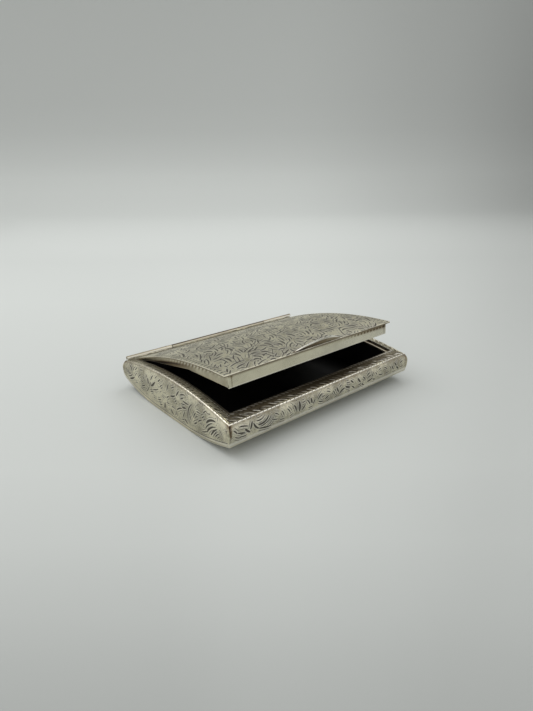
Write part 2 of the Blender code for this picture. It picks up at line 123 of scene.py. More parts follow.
def bow_share(sizes, s):
    """Share of the floor's bow at s, -1 to 1 across the case: 1 on the rest flat, 0 at the edges."""
    flat = sizes.rest_half_width / (sizes.half_width + foot_bulge(sizes))
    outside = np.maximum(np.abs(s) - flat, 0)
    return 1 - (outside / (1 - flat)) ** 2


def floor_height(sizes, y):
    """Height of the floor sheet's underside at y."""
    return sizes.floor_bow * (1 - bow_share(sizes, y / (sizes.half_width + foot_bulge(sizes))))


def side_bulge_at(sizes, depth):
    """Outward bulge of a side at a depth below the rim.

    A parabola down to the widest line, and below it a stretch of an ellipse.
    """
    rise = 1 - np.minimum(depth, sizes.bulge_drop) / sizes.bulge_drop
    fall = np.maximum(depth - sizes.bulge_drop, 0) / (sizes.side_height - sizes.bulge_drop)
    angle = np.arcsin(np.minimum(fall * math.sin(sizes.foot_angle), 1))
    return sizes.side_bulge * np.where(depth < sizes.bulge_drop, 1 - rise ** 2, np.cos(angle))


def bell(value, middle, width):
    """A bell curve: e to the power of minus the square of (value - middle) / width."""
    return np.exp(-((value - middle) / width) ** 2)


def climb(value, start, run):
    """0 up to start, then rising evenly to 1 over the run behind it."""
    return np.clip((value - start) / run, 0, 1)


# Columns of the table that describes every cut of the graver
START_A, START_B, HEADING, LENGTH, BEND, WIDTH, DEPTH = range(7)
# A cut's width swells as t to one power and tapers as 1 - t to another, and is widest at this t
SWELL_IN, SWELL_OUT, WIDEST = 0.40, 0.55, 0.421
# The dimples of a cut: their distance and least radius in steps of the plate, and depth at a thin end
DIMPLE_PITCH, DIMPLE_LEAST, DIMPLE_END = 1.2, 0.35, 0.45
# How often the cuts are blurred for the painted highlight on the lip beside them, and how much of their depth
# it loses
LIP_HIGHLIGHT_PASSES, LIP_HIGHLIGHT_LOSS = 10, 1.5
# Edges that meet at a steeper turn than this are shaded as sharp
SHARP = math.radians(50)


def strokes(a, b, heading, length, bend, width, depth):
    """A table of cuts with one row each, from a number or an array for each of its columns."""
    columns = np.broadcast_arrays(a, b, heading, length, bend, width, depth)
    return np.stack(columns, axis=-1).astype(float).reshape(-1, len(columns))


def follow(table, samples):
    """Points along each cut.

    The heading turns by bend * t, so a cut is an arc. Its points are the running sum of short steps
    along that heading.
    """
    t = np.linspace(0, 1, samples)
    heading = table[:, HEADING, None] + table[:, BEND, None] * t
    step = table[:, LENGTH, None] / (samples - 1)
    middle = (heading[:, 1:] + heading[:, :-1]) / 2
    start = np.zeros((len(table), 1))
    run_a = np.concatenate((start, np.cumsum(np.cos(middle) * step, axis=1)), axis=1)
    run_b = np.concatenate((start, np.cumsum(np.sin(middle) * step, axis=1)), axis=1)
    return table[:, START_A, None] + run_a, table[:, START_B, None] + run_b


class Plate:
    """A sheet of numbers over a patch of metal, on which cuts are drawn and read back."""

    def __init__(self, low, high, step):
        self.low = np.asarray(low, float)
        self.step = step
        columns, rows = np.ceil((np.asarray(high, float) - self.low) / step).astype(int) + 1
        self.depth = np.zeros((rows, columns), np.float32)

    def engrave(self, table):
        """Presses every cut in as a chain of round dimples, deepest in the middle.

        A dimple of radius r adds depth * (1 - d * d / (r * r)) at a distance d, and the greatest
        depth at a point stays. The width swells from a fine start and tapers to the end.
        """
        if not len(table):
            return
        dense = int(np.ceil(table[:, LENGTH].max() / (DIMPLE_PITCH * self.step))) + 2
        t = np.linspace(0, 1, dense)
        a, b = follow(table, dense)
        swell = t ** SWELL_IN * (1 - t) ** SWELL_OUT / (WIDEST ** SWELL_IN * (1 - WIDEST) ** SWELL_OUT)
        radius = np.maximum(table[:, WIDTH, None] / 2 * swell, DIMPLE_LEAST * self.step)
        depth = np.broadcast_to(table[:, DEPTH, None] * np.minimum(1, DIMPLE_END + swell), radius.shape)
        a, b, radius, depth = (item.ravel() for item in (a, b, radius, depth))
        column = (a - self.low[0]) / self.step
        row = (b - self.low[1]) / self.step
        reach = int(np.ceil(radius.max() / self.step)) + 1
        across = np.arange(-reach, reach + 1)
        near_column = np.rint(column).astype(int)[:, None, None] + across[None, None, :]
        near_row = np.rint(row).astype(int)[:, None, None] + across[None, :, None]
        distance = (near_column - column[:, None, None]) ** 2 + (near_row - row[:, None, None]) ** 2
        value = depth[:, None, None] * (1 - distance * (self.step / radius[:, None, None]) ** 2)
        rows, columns = self.depth.shape
        inside = (value > 0) & (near_column >= 0) & (near_column < columns)
        inside &= (near_row >= 0) & (near_row < rows)
        flat = (near_row * columns + near_column)[inside]
        np.maximum.at(self.depth.reshape(-1), flat, value[inside].astype(np.float32))

    def cover(self, a, b):
        """How deep the plate is cut at places (a, b), read between its points."""
        rows, columns = self.depth.shape
        column = np.clip((a - self.low[0]) / self.step, 0, columns - 1.001)
        row = np.clip((b - self.low[1]) / self.step, 0, rows - 1.001)
        left, top = column.astype(int), row.astype(int)
        u, v = column - left, row - top
        near = self.depth[top, left] * (1 - u) + self.depth[top, left + 1] * u
        far = self.depth[top + 1, left] * (1 - u) + self.depth[top + 1, left + 1] * u
        return near * (1 - v) + far * v

    def copy(self):
        """Another plate with the same cuts."""
        other = Plate(self.low, self.low, self.step)
        other.depth = self.depth.copy()
        return other

    def soften(self, passes):
        """Blurs the cuts down and across by shares of 1, 2 and 1, so that a coarser grid reads them whole."""
        for _ in range(passes):
            padded = np.pad(self.depth, 1, mode="edge")[:, 1:-1]
            self.depth = (padded[:-2] + 2 * padded[1:-1] + padded[2:]) / 4
            padded = np.pad(self.depth, 1, mode="edge")[1:-1]
            self.depth = (padded[:, :-2] + 2 * padded[:, 1:-1] + padded[:, 2:]) / 4

    def lip_highlight(self):
        """A plate of the painted highlight on the lip beside the cuts: three times their blur, less a share of
        their depth.
        """
        lips = self.copy()
        lips.soften(LIP_HIGHLIGHT_PASSES)
        lips.depth = np.clip(3 * lips.depth - LIP_HIGHLIGHT_LOSS * self.depth, 0, 1)
        return lips


def rosette(a, b, radius, side, width, rng):
    """A scroll seen as rings of arcs round its eye, each ring leaning further out than the last.

    Ring by ring, the arcs start at even angles, run along the ring with a tilt outwards, and bend
    with it: the bend is the arc's length over the ring's radius.
    """
    parts = []
    for share, count, tilt, reach, wide in RINGS:
        angle = (np.arange(count) + rng.uniform(0, 1) + rng.uniform(-0.2, 0.2, count)) * 2 * math.pi / count
        ring = share * radius
        heading = angle + side * (math.pi / 2 - tilt)
        length = reach * radius * rng.uniform(0.75, 1.15, count)
        parts.append(strokes(
            a=a + ring * np.cos(angle), b=b + ring * np.sin(angle), heading=heading,
            length=length, bend=side * 0.9 * length / max(ring, 0.3 * radius),
            width=width * wide * rng.uniform(0.6, 1.15, count), depth=rng.uniform(0.75, 1.0, count),
        ))
    return np.concatenate(parts)


def commas(low, high, count, length, width, rng):
    """Short filling cuts, strewn over a patch, each a small arc."""
    a = rng.uniform(low[0], high[0], count)
    b = rng.uniform(low[1], high[1], count)
    heading = rng.uniform(0, 2 * math.pi, count)
    bend = rng.choice((-1, 1), count) * rng.uniform(0.6, 1.8, count)
    return strokes(
        a=a, b=b, heading=heading, length=length * rng.uniform(0.6, 1.4, count), bend=bend,
        width=width * rng.uniform(0.6, 1.3, count), depth=rng.uniform(0.35, 0.9, count),
    )


def beside(table, offset, width, depth):
    """Cuts that run beside others at an even distance.

    An arc of length l that turns by c has a neighbour at a distance d on its inner side whose length
    is l - d * c, with the same headings.
    """
    near = table.copy()
    near[:, START_A] -= offset * np.sin(table[:, HEADING])
    near[:, START_B] += offset * np.cos(table[:, HEADING])
    near[:, LENGTH] = np.maximum(table[:, LENGTH] - offset * table[:, BEND], 0.3 * table[:, LENGTH])
    near[:, WIDTH] = width
    near[:, DEPTH] = depth
    return near


def only_where_bare(plate, table, limit, room=0.0):
    """The cuts that fall on metal still nearly plain, along their line and at a distance beside it."""
    depth = 0
    for offset in (0.0,) if room == 0 else (-room, 0.0, room):
        a, b = follow(beside(table, offset, 0, 0), 5)
        depth = np.maximum(depth, plate.cover(a, b).mean(axis=1))
    return table[depth < limit]


def arcs(a, b, end_a, end_b, bend, width, depth):
    """Cuts from their starts, ends and bends.

    An arc that turns by c is its chord times (c / 2) / sin(c / 2) long, and it starts half of c
    before the chord's own heading.
    """
    half = np.maximum(np.abs(bend) / 2, 0.001)
    length = np.hypot(end_a - a, end_b - b) * half / np.sin(half)
    heading = np.arctan2(end_b - b, end_a - a) - bend / 2
    return strokes(a, b, heading, length, bend, width, depth)


def placed(table, widen):
    """Cuts from rows of start, end, bend and width, in millimetres, each widened by the same share."""
    a, b, end_a, end_b, bend, width = np.asarray(table, float).T
    scale = MILLIMETRE
    return arcs(a * scale, b * scale, end_a * scale, end_b * scale, bend, width * widen * scale, 1.0)


def mirrored(table):
    """The same cuts with the way along turned round."""
    turned = table.copy()
    turned[:, START_A] *= -1
    turned[:, HEADING] = math.pi - table[:, HEADING]
    turned[:, BEND] *= -1
    return turned


def hatch_row(low, high, b, pitch, length, width, slant, bend, rng, depth):
    """A row of slanted, bowed cuts that repeat along a border."""
    count = max(int(round((high - low) / pitch)), 1)
    a = low + (np.arange(count) + 0.5) * (high - low) / count
    return strokes(
        a=a, b=b, heading=slant + rng.normal(0, 0.05, count), length=length * rng.uniform(0.9, 1.1, count),
        bend=bend, width=width * rng.uniform(0.85, 1.15, count), depth=depth,
    )


def fainter_lengthwise(table, share):
    """The same cuts, fainter the more they run along the plate's second way.

    Each loses share times the squared sine of its middle heading.
    """
    table[:, DEPTH] *= 1 - share * np.sin(table[:, HEADING] + table[:, BEND] / 2) ** 2
    return table


def ground(plate, low, high, pitch, width, rng, deepest, faint=0.0):
    """Fills what is still bare with short cuts that keep apart, and then twice with finer ones.

    Three cuts are tried for each square of the pitch, in six lots, so that later ones avoid earlier.
    """
    count = int(3 * (high[0] - low[0]) * (high[1] - low[1]) / pitch ** 2)
    for share, deep in GROUND_PASSES:
        for part in np.array_split(commas(low, high, count, pitch * share, width * share, rng), 6):
            part[:, DEPTH] *= deep * deepest
            part = fainter_lengthwise(part, faint)
            plate.engrave(only_where_bare(plate, part, GROUND_BARE, GROUND_ROOM * pitch * share))


def engrave_field(plate, low, high, cell, size, width, rng, faint):
    """Covers a patch with ringed scrolls on a shaken, staggered net, then draws thin cuts beside theirs."""
    rows = max(int(round((high[1] - low[1]) / cell[1])), 1)
    columns = max(int(round((high[0] - low[0]) / cell[0])), 1)
    kept = []
    for row in range(rows + 1):
        for column in range(columns + 1):
            shift = 0.5 if row % 2 else 0.0
            a = low[0] + (column + shift + rng.uniform(-NET_SHAKE, NET_SHAKE)) * (high[0] - low[0]) / columns
            b = low[1] + (row + rng.uniform(-NET_SHAKE, NET_SHAKE)) * (high[1] - low[1]) / rows
            side = 1 if (row + column) % 2 else -1
            table = rosette(a, b, size * rng.uniform(0.9, 1.1), side, width, rng)
            table = fainter_lengthwise(only_where_bare(plate, table, SCROLL_BARE, 0.5 * width), faint)
            plate.engrave(table)
            kept.append(table)
    kept = np.concatenate(kept)
    for offset, deep in ((1.15, 0.9), (-1.15, 0.8)):
        near = fainter_lengthwise(beside(kept, offset * width, 0.5 * width, deep), faint)
        near[:, DEPTH] *= rng.uniform(0.3, 1.0, len(near))
        plate.engrave(only_where_bare(plate, near, BESIDE_BARE))


def edged_axis(low, high, step, thickness, radius, corner_steps=4, rows=(1.0,)):
    """Places and depths one way across a sheet: a rounded edge, an even middle, a rounded edge.

    Over a quarter turn the edge comes out by radius * sin and goes down by radius * (1 - cos), and
    then it runs straight down to the sheet's thickness.
    """
    turn = np.linspace(0, math.pi / 2, corner_steps)
    inset = np.concatenate((radius * (1 - np.sin(turn)), np.zeros(len(rows))))
    drop = np.concatenate((radius * (1 - np.cos(turn)), thickness * np.asarray(rows)))
    count = max(int(round((high - low - 2 * radius) / step)), 2)
    middle = np.linspace(low + radius, high - radius, count + 1)[1:-1]
    place = np.concatenate((low + inset[::-1], middle, high - inset))
    depth = np.concatenate((drop[::-1], np.zeros(len(middle)), drop))
    return place, depth


def sheet_faces(rows, columns):
    """Faces of a closed sheet whose front is a grid and whose back is ruled along the rows.

    The first and last back faces take in their whole row of the grid, so that every edge is shared.
    """
    index = np.arange(rows * columns).reshape(rows, columns)
    front = np.stack((index[:-1, :-1], index[:-1, 1:], index[1:, 1:], index[1:, :-1]), axis=-1).reshape(-1, 4)
    back = np.stack((index[1:-2, 0], index[2:-1, 0], index[2:-1, -1], index[1:-2, -1]), axis=-1)
    first = np.concatenate((index[0, ::-1], index[1, [0, -1]]))[None]
    last = np.concatenate((index[-2, :1], index[-1], index[-2, -1:]))[None]
    return [front, back, first, last]


def ring_faces(rows, columns):
    """Faces of a grid that closes on itself both ways, such as a turned tube with its bore."""
    index = np.arange(rows * columns).reshape(rows, columns)
    right = np.roll(index, -1, axis=1)
    below = np.roll(index, -1, axis=0)
    both = np.roll(right, -1, axis=0)
    return [np.stack((index, right, both, below), axis=-1).reshape(-1, 4)]


def bar_faces(rows, columns):
    """Faces of a closed section carried along a row of stations, with a flat cap at each end."""
    index = np.arange(rows * columns).reshape(rows, columns)
    right = np.roll(index, -1, axis=1)
    sides = np.stack((index[:-1], right[:-1], right[1:], index[1:]), axis=-1).reshape(-1, 4)
    return [sides, index[0, ::-1][None], index[-1][None]]


def signed_volume(points, groups):
    """Volume inside the faces, positive where they point outwards, as a sum of fans of triangles."""
    total = 0.0
    for group in groups:
        first, second, third = points[group[:, 0]], points[group[:, 1:-1]], points[group[:, 2:]]
        total += np.einsum("ik,ijk->", first, np.cross(second, third)) / 6
    return total


def silver_object(name, points, faces, finish, body, replaced, values):
    """Makes a closed mesh of a grid of points, gives it its finish and ties it to the frame.

    faces gives the faces from the grid's rows and columns, and each of the values is kept on its points.
    """
    grid = points.shape[:2]
    points = points.reshape(-1, 3)
    groups = faces(*grid)
    if signed_volume(points, groups) < 0:
        groups = [group[:, ::-1] for group in groups]
    corners = np.concatenate([group.ravel() for group in groups]).astype(np.int32)
    counts = np.concatenate([np.full(len(group), group.shape[1]) for group in groups])
    mesh = bpy.data.meshes.new(name)
    mesh.vertices.add(len(points))
    mesh.vertices.foreach_set("co", points.astype(np.float32).ravel())
    mesh.loops.add(len(corners))
    mesh.loops.foreach_set("vertex_index", corners)
    mesh.polygons.add(len(counts))
    starts = np.concatenate(([0], np.cumsum(counts)[:-1])).astype(np.int32)
    mesh.polygons.foreach_set("loop_start", starts)
    mesh.update(calc_edges=True)
    for key, value in values.items():
        layer = mesh.attributes.new(key, "FLOAT", "POINT")
        layer.data.foreach_set("value", np.broadcast_to(value, grid).astype(np.float32).ravel())
    mesh.shade_smooth()
    mesh.set_sharp_from_angle(angle=SHARP)
    mesh.materials.append(finish)
    piece = bpy.data.objects.new(name, mesh)
    bpy.context.scene.collection.objects.link(piece)
    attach(piece, body)
    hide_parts(*replaced)


def opened(points):
    """Turns points of the closed lid about the hinge to where the lid stands at rest."""
    angle = math.radians(-hinge["range_deg"][0])
    y = points[..., 1] - hinge["pos_m"][1]
    z = points[..., 2] - hinge["pos_m"][2]
    turned = np.empty_like(points)
    turned[..., 0] = points[..., 0]
    turned[..., 1] = hinge["pos_m"][1] + y * math.cos(angle) + z * math.sin(angle)
    turned[..., 2] = hinge["pos_m"][2] - y * math.sin(angle) + z * math.cos(angle)
    return turned


class Channel:
    """An output socket of a finish; sums and products of channels add Math nodes."""

    def __init__(self, finish, socket):
        self.finish = finish
        self.socket = socket

    def work(self, operation, first, second):
        """Adds a Math node on two channels or numbers."""
        return self.finish.node("ShaderNodeMath", {"operation": operation}, {0: first, 1: second})

    def __add__(self, other):
        return self.work("ADD", self, other)

    def __radd__(self, other):
        return self.work("ADD", other, self)

    def __sub__(self, other):
        return self.work("SUBTRACT", self, other)

    def __rsub__(self, other):
        return self.work("SUBTRACT", other, self)

    def __mul__(self, other):
        return self.work("MULTIPLY", self, other)

    def __rmul__(self, other):
        return self.work("MULTIPLY", other, self)


class Finish:
    """A material built node by node round one Principled shader."""

    def __init__(self, name):
        self.material = bpy.data.materials.new(name)
        self.material.use_nodes = True
        self.tree = self.material.node_tree
        self.shader = self.tree.nodes["Principled BSDF"]

    def node(self, kind, settings=None, inputs=None, output=0):
        """Adds a node, sets it up, fills or links its sockets and returns one of its outputs."""
        node = self.tree.nodes.new(kind)
        for key, value in (settings or {}).items():
            if key == "stops":
                self.place_stops(node.color_ramp, value)
            else:
                setattr(node, key, value)
        for key, value in (inputs or {}).items():
            self.fill(node.inputs[key], value)
        return Channel(self, node.outputs[output])

    def place_stops(self, ramp, stops):
        """Sets a ramp's stops from (place, colour) pairs."""
        while len(ramp.elements) < len(stops):
            ramp.elements.new(1.0)
        for element, (place, colour) in zip(ramp.elements, stops):
            element.position = place
            element.color = (*colour, 1.0)

    def fill(self, socket, value):
        """Links a channel to a socket, or writes a plain value in it."""
        if isinstance(value, Channel):
            self.tree.links.new(value.socket, socket)
        elif isinstance(value, (tuple, list)) and len(value) == 3 and socket.type == "RGBA":
            socket.default_value = (*value, 1.0)
        else:
            socket.default_value = value

    def value_of(self, name):
        """A number kept on the mesh's points."""
        return self.node("ShaderNodeAttribute", {"attribute_name": name}, output="Fac")

    def noise(self, scale, detail, roughness, stretch=None, distortion=0.0):
        """Noise on Object coordinates with a scale in cells per metre, about 0 to 1."""
        where = self.node("ShaderNodeTexCoord", output="Object")
        if stretch:
            where = self.node("ShaderNodeMapping", {}, {"Vector": where, "Scale": stretch})
        return self.node(
            "ShaderNodeTexNoise", {}, {
                "Vector": where, "Scale": scale, "Detail": detail, "Roughness": roughness,
                "Distortion": distortion,
            }, "Fac",
        )

    def between(self, value, low, high):
        """Runs from 0 at low to 1 at high, with soft ends."""
        return self.node(
            "ShaderNodeMapRange", {"interpolation_type": "SMOOTHSTEP"},
            {"Value": value, "From Min": low, "From Max": high},
        )

    def mix_colour(self, share, first, second, blend="MIX"):
        """Mixes or multiplies two colours through the colour sockets of a Mix node."""
        settings = {"data_type": "RGBA", "blend_type": blend}
        return self.node("ShaderNodeMix", settings, {0: share, 6: first, 7: second}, 2)

    def bump(self, height, strength, distance):
        """A normal that follows a height."""
        return self.node(
            "ShaderNodeBump", {}, {"Height": height, "Strength": strength, "Distance": distance}, "Normal",
        )

    def feed(self, **sockets):
        """Fills or links the shader's own sockets, named with underscores for spaces."""
        for key, value in sockets.items():
            self.fill(self.shader.inputs[key.replace("_", " ")], value)
        return self.material


class SilverColours(bpy.types.PropertyGroup):
    """Colours of the silver, its tarnishing and painted shade, its painted highlights and the lining."""

    # The colour of the bright parts: silver polished by rubbing, and painted highlights
    clean: colour_prop("Clean silver", "Highlit_and_rubbed silver", (0.93, 0.905, 0.84))
    light: colour_prop("Light silver", "Lighter metal between the cuts", (0.73, 0.69, 0.53))
    dull: colour_prop("Dull silver", "Silver with a thin haze", (0.30, 0.28, 0.212))
    # Brown and umber: partly real tarnishing, partly painted shade in corners, creases and under edges
    brown: colour_prop("Brown tarnish", "Shade_and_tarnish in corners and under edges", (0.20, 0.155, 0.095))
    umber: colour_prop("Umber tarnish", "The darkest tarnish", (0.035, 0.022, 0.016))
    cut: colour_prop("Cut", "Dark metal in the graver's cuts", (0.026, 0.020, 0.011))
    lining: colour_prop("Lining", "Black lining", (0.0035, 0.0035, 0.0032))


class StageSettings(bpy.types.PropertyGroup):
    """Floor, backdrop and light."""

    floor: colour_prop("Floor", "Colour of the floor", (0.725, 0.752, 0.73))
    sky: colour_prop("Sky", "Colour of the soft light from all round", (1.0, 1.0, 0.99))
    sky_strength: FloatProperty(name="Sky strength", description="Level of the soft light", default=0.77)
    lamp_power: FloatProperty(
        name="Lamp power", description="Power of the soft boxes together", default=4.6, unit="POWER",
    )


def darkened_by_tarnish_and_shade(finish, metal, shade, grains):
    """Browns a metal colour where its shade, partly tarnishing and partly painted shade, is high, and darkens
    it to umber past the middle.
    """
    colours = bpy.context.scene.case_silver
    depth = shade + (grains - 0.5) * 0.25
    metal = finish.mix_colour(finish.between(depth, 0.05, 0.60), metal, tuple(colours.brown))
    return finish.mix_colour(finish.between(depth, 0.55, 1.05), metal, tuple(colours.umber))


# Cells per metre of engraved silver's haze, grains, scratches and stains, and of plain silver's haze
PATCHES, GRAINS, SCRATCHES, STAINS, PLAIN_PATCHES = 110.0, 1000.0, 2400.0, 42.0, 70.0
# How fully the cuts' dark colour covers the silver, and the tint of its reflections seen aslant
CUT_COVER = 0.97
SILVER_TINT = (0.96, 0.93, 0.86, 1.0)


def engraved_silver(name, lighter_by=0.0):
    """Silver with dark cuts, bright high parts, patches of haze, faint stains and a fine scratched ground.

    The haze, stains and ground are noise at four scales. The cuts, the shade (tarnishing and painted
    shade) and the bright parts (rubbing and painted highlight) come from the mesh's own numbers.
    Haze and cuts make the metal rougher, and the bright parts smoother.
    """
    colours = bpy.context.scene.case_silver
    finish = Finish(name)
    cut = finish.value_of("cut")
    bright = finish.value_of("bright")
    shade = finish.value_of("shade")
    patches = finish.between(finish.noise(PATCHES, 4.0, 0.6), 0.36, 0.66)
    grains = finish.noise(GRAINS, 3.0, 0.65, distortion=0.6)
    lines = finish.noise(SCRATCHES, 2.0, 0.6, distortion=1.5)
    haze = finish.between(patches * 0.30 + grains * 0.50 + lines * 0.55, 0.42 + lighter_by, 0.92 + lighter_by)
    metal = finish.mix_colour(haze, tuple(colours.light), tuple(colours.dull))
    darkening = finish.between(finish.noise(STAINS, 3.0, 0.55), 0.48, 0.72)
    # Browner where the shade is high: tarnishing and painted shade, with faint stains
    metal = darkened_by_tarnish_and_shade(finish, metal, shade + darkening * 0.14, grains)
    deep = finish.between(cut + (lines - 0.5) * 0.10, 0.08, 0.55)
    metal = finish.mix_colour(deep * CUT_COVER, metal, tuple(colours.cut))
    # Lighter where bright is high: rubbing and painted highlight
    metal = finish.mix_colour(bright * (1 - deep * 0.9), metal, tuple(colours.clean))
    rough = 0.27 + patches * 0.08 + grains * 0.14 + deep * 0.2 - bright * 0.10
    height = lines * 0.4 + grains * 0.6
    return finish.feed(
        Base_Color=metal, Metallic=1.0, Roughness=rough, Specular_Tint=SILVER_TINT,
        Normal=finish.bump(height, 0.5, 0.00004),
    )


def plain_silver(name, haze, scale=260.0, rough=0.2, stretch=(1, 1, 1)):
    """Polished silver with soft haze, brown where its shade (tarnishing and painted shade) is high, and fine
    rubbing marks.
    """
    colours = bpy.context.scene.case_silver
    finish = Finish(name)
    shade = finish.value_of("shade")
    bright = finish.value_of("bright")
    patches = finish.between(finish.noise(PLAIN_PATCHES, 4.0, 0.6), 0.3, 0.75)
    rubs = finish.noise(scale, 4.0, 0.7, stretch=stretch)
    metal = finish.mix_colour(patches * haze + rubs * 0.3, tuple(colours.light), tuple(colours.dull))
    metal = darkened_by_tarnish_and_shade(finish, metal, shade, rubs)
    # Lighter where bright is high: painted highlight and painted reflection
    metal = finish.mix_colour(bright * 0.85, metal, tuple(colours.clean))
    return finish.feed(
        Base_Color=metal, Metallic=1.0, Roughness=rough + rubs * 0.16 + patches * 0.06,
        Normal=finish.bump(rubs, 0.3, 0.00005),
    )


def black_lining(name):
    """A thin black lining with a soft gloss, a slight grain and greyer places of wear."""
    colours = bpy.context.scene.case_silver
    finish = Finish(name)
    grain = finish.noise(1500.0, 3.0, 0.6)
    wear = finish.between(finish.noise(120.0, 3.0, 0.5), 0.45, 0.8)
    colour = finish.mix_colour(grain * 0.6 + wear * 0.4, tuple(colours.lining), (0.008, 0.008, 0.007))
    return finish.feed(
        Base_Color=colour, Roughness=0.32 + grain * 0.15, Specular_IOR_Level=0.32,
        Normal=finish.bump(grain, 0.2, 0.00005),
    )


# Spacing of the grids on the sides, the lid, the borders and plain strips, and of the drawn cuts
WALL_STEP = 0.00016
LID_STEP = 0.000298
BORDER_STEP = 0.00015
PLAIN_STEP = 0.0008
DRAWN_STEP = 0.00008
# Rows of points down the front and back, and down the ends
FRONT_ROWS, END_ROWS = 62, 105
# The depth that a full cut is pressed in
CUT_PRESS = 0.00009
# Radii of the rim's corner, the floor sheet's, a strip's, the lid sheet's, a flange's and a tube's
RIM_ROUND = 0.00032
FLOOR_ROUND = 0.00045
STRIP_ROUND = 0.00008
LID_ROUND = 0.00016
FLANGE_ROUND = 0.00018
TUBE_ROUND = 0.0001
# Gaps between pieces that lie against each other, and between a side and the floor sheet
FIT_GAP = 0.00002
FOOT_GAP = 0.00004
# Rings of a scroll: share of its radius, arcs, tilt outwards, and the arcs' length and width
RINGS = (
    (0.24, 2, 0.05, 0.60, 0.75), (0.58, 3, 0.12, 0.95, 0.90), (0.94, 4, 0.28, 1.00, 1.0),
    (1.30, 5, 0.60, 0.80, 0.80),
)
# The lid's scrolls: the way they are drawn out and how much, their spacing, radius and cuts' width
SCROLL_AXIS = math.radians(55)
SCROLL_PULL = 2.1
LID_CELL = (0.0078, 0.0072)
LID_SCROLL = 0.0044
LID_CUT = 0.00134
# Cuts that run along that axis are fainter by this share, as their sides catch less light
LID_FAINT = 0.35
# How far a scroll may stray from its place on the net, as a share of the net's cell
NET_SHAKE = 0.12
# Metal cut less than this on average still counts as bare for a scroll's arc and for a thin cut beside it
SCROLL_BARE, BESIDE_BARE = 0.1, 0.25
# The same for the ground's cuts, and the share of its spacing that they keep apart
GROUND_BARE, GROUND_ROOM = 0.05, 0.45
# Passes of the ground: share of its size and of its depth
GROUND_PASSES = ((1.0, 1.0), (0.75, 0.8), (0.6, 0.6))
# The ground between the cuts, on the lid and on the sides: spacing, width and depth
LID_GROUND = (0.0021, 0.00068, 1.0)
WALL_GROUND = (0.0018, 0.00046, 0.62)
# The lid sheet's thickness, its depth below the crown with the gap under it, and its back edge
LID_SHEET = 0.00072
UNDER_LID = 0.00074
LID_BACK = 0.0410
# Short cuts along the lid's two ends: spacing, length and width
LID_HATCH = (0.0022, 0.0031, 0.00080)
# The placed cuts of the sides are this much wider than their crisp dark middle
WALL_WIDEN = 1.45
# How bright the painted highlight on the lip beside a cut is on the sides
LIP_HIGHLIGHT_SHARE = 0.75
# Plain strip at the foot of the front and of an end, and the width and depth of the line above it
FOOT_PLAIN_FRONT, FOOT_PLAIN_END = 0.0026, 0.0022
FOOT_LINE_FRONT, FOOT_LINE_END = (0.00022, 0.25), (0.00044, 0.85)
# Spacing, length and width of the notches along the rim
RIM_NOTCH = (0.0021, 0.0007, 0.00045)
# The border's slanted leaves: spacing, width, slant and share of the border's width
BORDER_LEAF = 0.0029
LEAF_WIDTH = 0.00105
LEAF_SLANT = 0.72
LEAF_SHARE = 0.58
# Dark lines between two leaves of the border: share of the spacing, depth, share of the length and width
BORDER_LINES = ((0.42, 1.0, 1.0, 0.00072), (0.72, 0.8, 0.9, 0.00050))
# Painted shade on the border's ground on the front and the ends: its level, and how much less on a leaf
DIM_FRONT, DIM_END = (0.62, 0.28), (0.30, 0.42)
# The hinge tubes: radius, bore and sides
TUBE_RADIUS, TUBE_BORE, TUBE_SIDES = 0.0010, 0.00058, 48
# Their painted highlight is full from this turn from their top towards the lid
TUBE_HIGHLIGHT = math.radians(62)
# Painted shade on a tube's top, darkening all round it, and how bright its painted highlight is
TUBE_LOOKS = {"left": (0.42, 0.0, 1.0), "right": (0.60, 0.0, 1.0), "centre": (0.74, 0.16, 0.45)}
# The hinge rail's upper level reaches forward to this place, just behind the lid sheet
RAIL_BED = 0.04106
# The lid's flanges: sheet, depth below the rim, and how far the front one leans out at its top
FLANGE_SHEET, FLANGE_DEEP, FLANGE_LEAN = 0.0006, 0.0047, 0.0006
# A side flange's lower edge: its place below the rim, and where it falls to the front corner
FLANGE_LEVEL, FLANGE_KNEE, FLANGE_BACK = 0.0004, 0.0300, 0.0342
# One turn of the rope cut along the lid's side flanges
ROPE_PITCH = 0.0026
# The thumb piece: half its length, height, way to the right, and how far its top lies to the right
THUMB_HALF, THUMB_HEIGHT, THUMB_ASIDE, THUMB_SKEW = 0.0148, 0.00262, -0.0008, 0.5
# Half its thickness at the foot and at the crest, and how much it leans forward
THUMB_FOOT, THUMB_CREST, THUMB_LEAN = 0.00052, 0.00032, 190
# Thickness of the lining's floor
LINING_SHEET = 0.0006


def doubled_ends(low, high, count):
    """Even places from low to high with each end given twice, for a sheet's cut edges."""
    return np.concatenate(([low], np.linspace(low, high, count), [high]))


def sheet_grid(x_axis, y_axis):
    """Places and depths over a sheet, from those of its two ways: the deeper one counts."""
    (x, drop_x), (y, drop_y) = x_axis, y_axis
    depth = np.maximum(drop_x[None, :], drop_y[:, None])
    return np.broadcast_to(x, depth.shape), np.broadcast_to(y[:, None], depth.shape), depth


def crown_points(sizes, along, across, sink, top_drop=0.0):
    """Points at places (x, y) on the crown, sunk along its normal and lowered by top_drop."""
    normal_y, normal_z = crown_normal(sizes, across)
    z = crown_height(sizes, across) - top_drop - normal_z * sink
    return np.stack((along, across - normal_y * sink, z), axis=-1)


def wall_section(sizes, side_rows):
    """Rows of a side's section: insets from its outer face, drops at the rim and shares of its depth.

    The first and last rows lie on the inner face. Between them come the land on top, the rounded
    rim and the outer face down to the foot.
    """
    turn = np.linspace(0, math.pi / 2, 4)
    land = np.linspace(sizes.sheet, RIM_ROUND, 7)
    inset = np.concatenate((land[:-1], RIM_ROUND * (1 - np.sin(turn)), np.zeros(side_rows), [sizes.sheet]))
    drop = np.concatenate((np.zeros(6), RIM_ROUND * (1 - np.cos(turn)), np.full(side_rows + 1, RIM_ROUND)))
    share = np.concatenate((np.zeros(10), np.linspace(0, 1, side_rows + 1)[1:], [1.0]))
    return inset[:, None], drop[:, None], share[:, None]


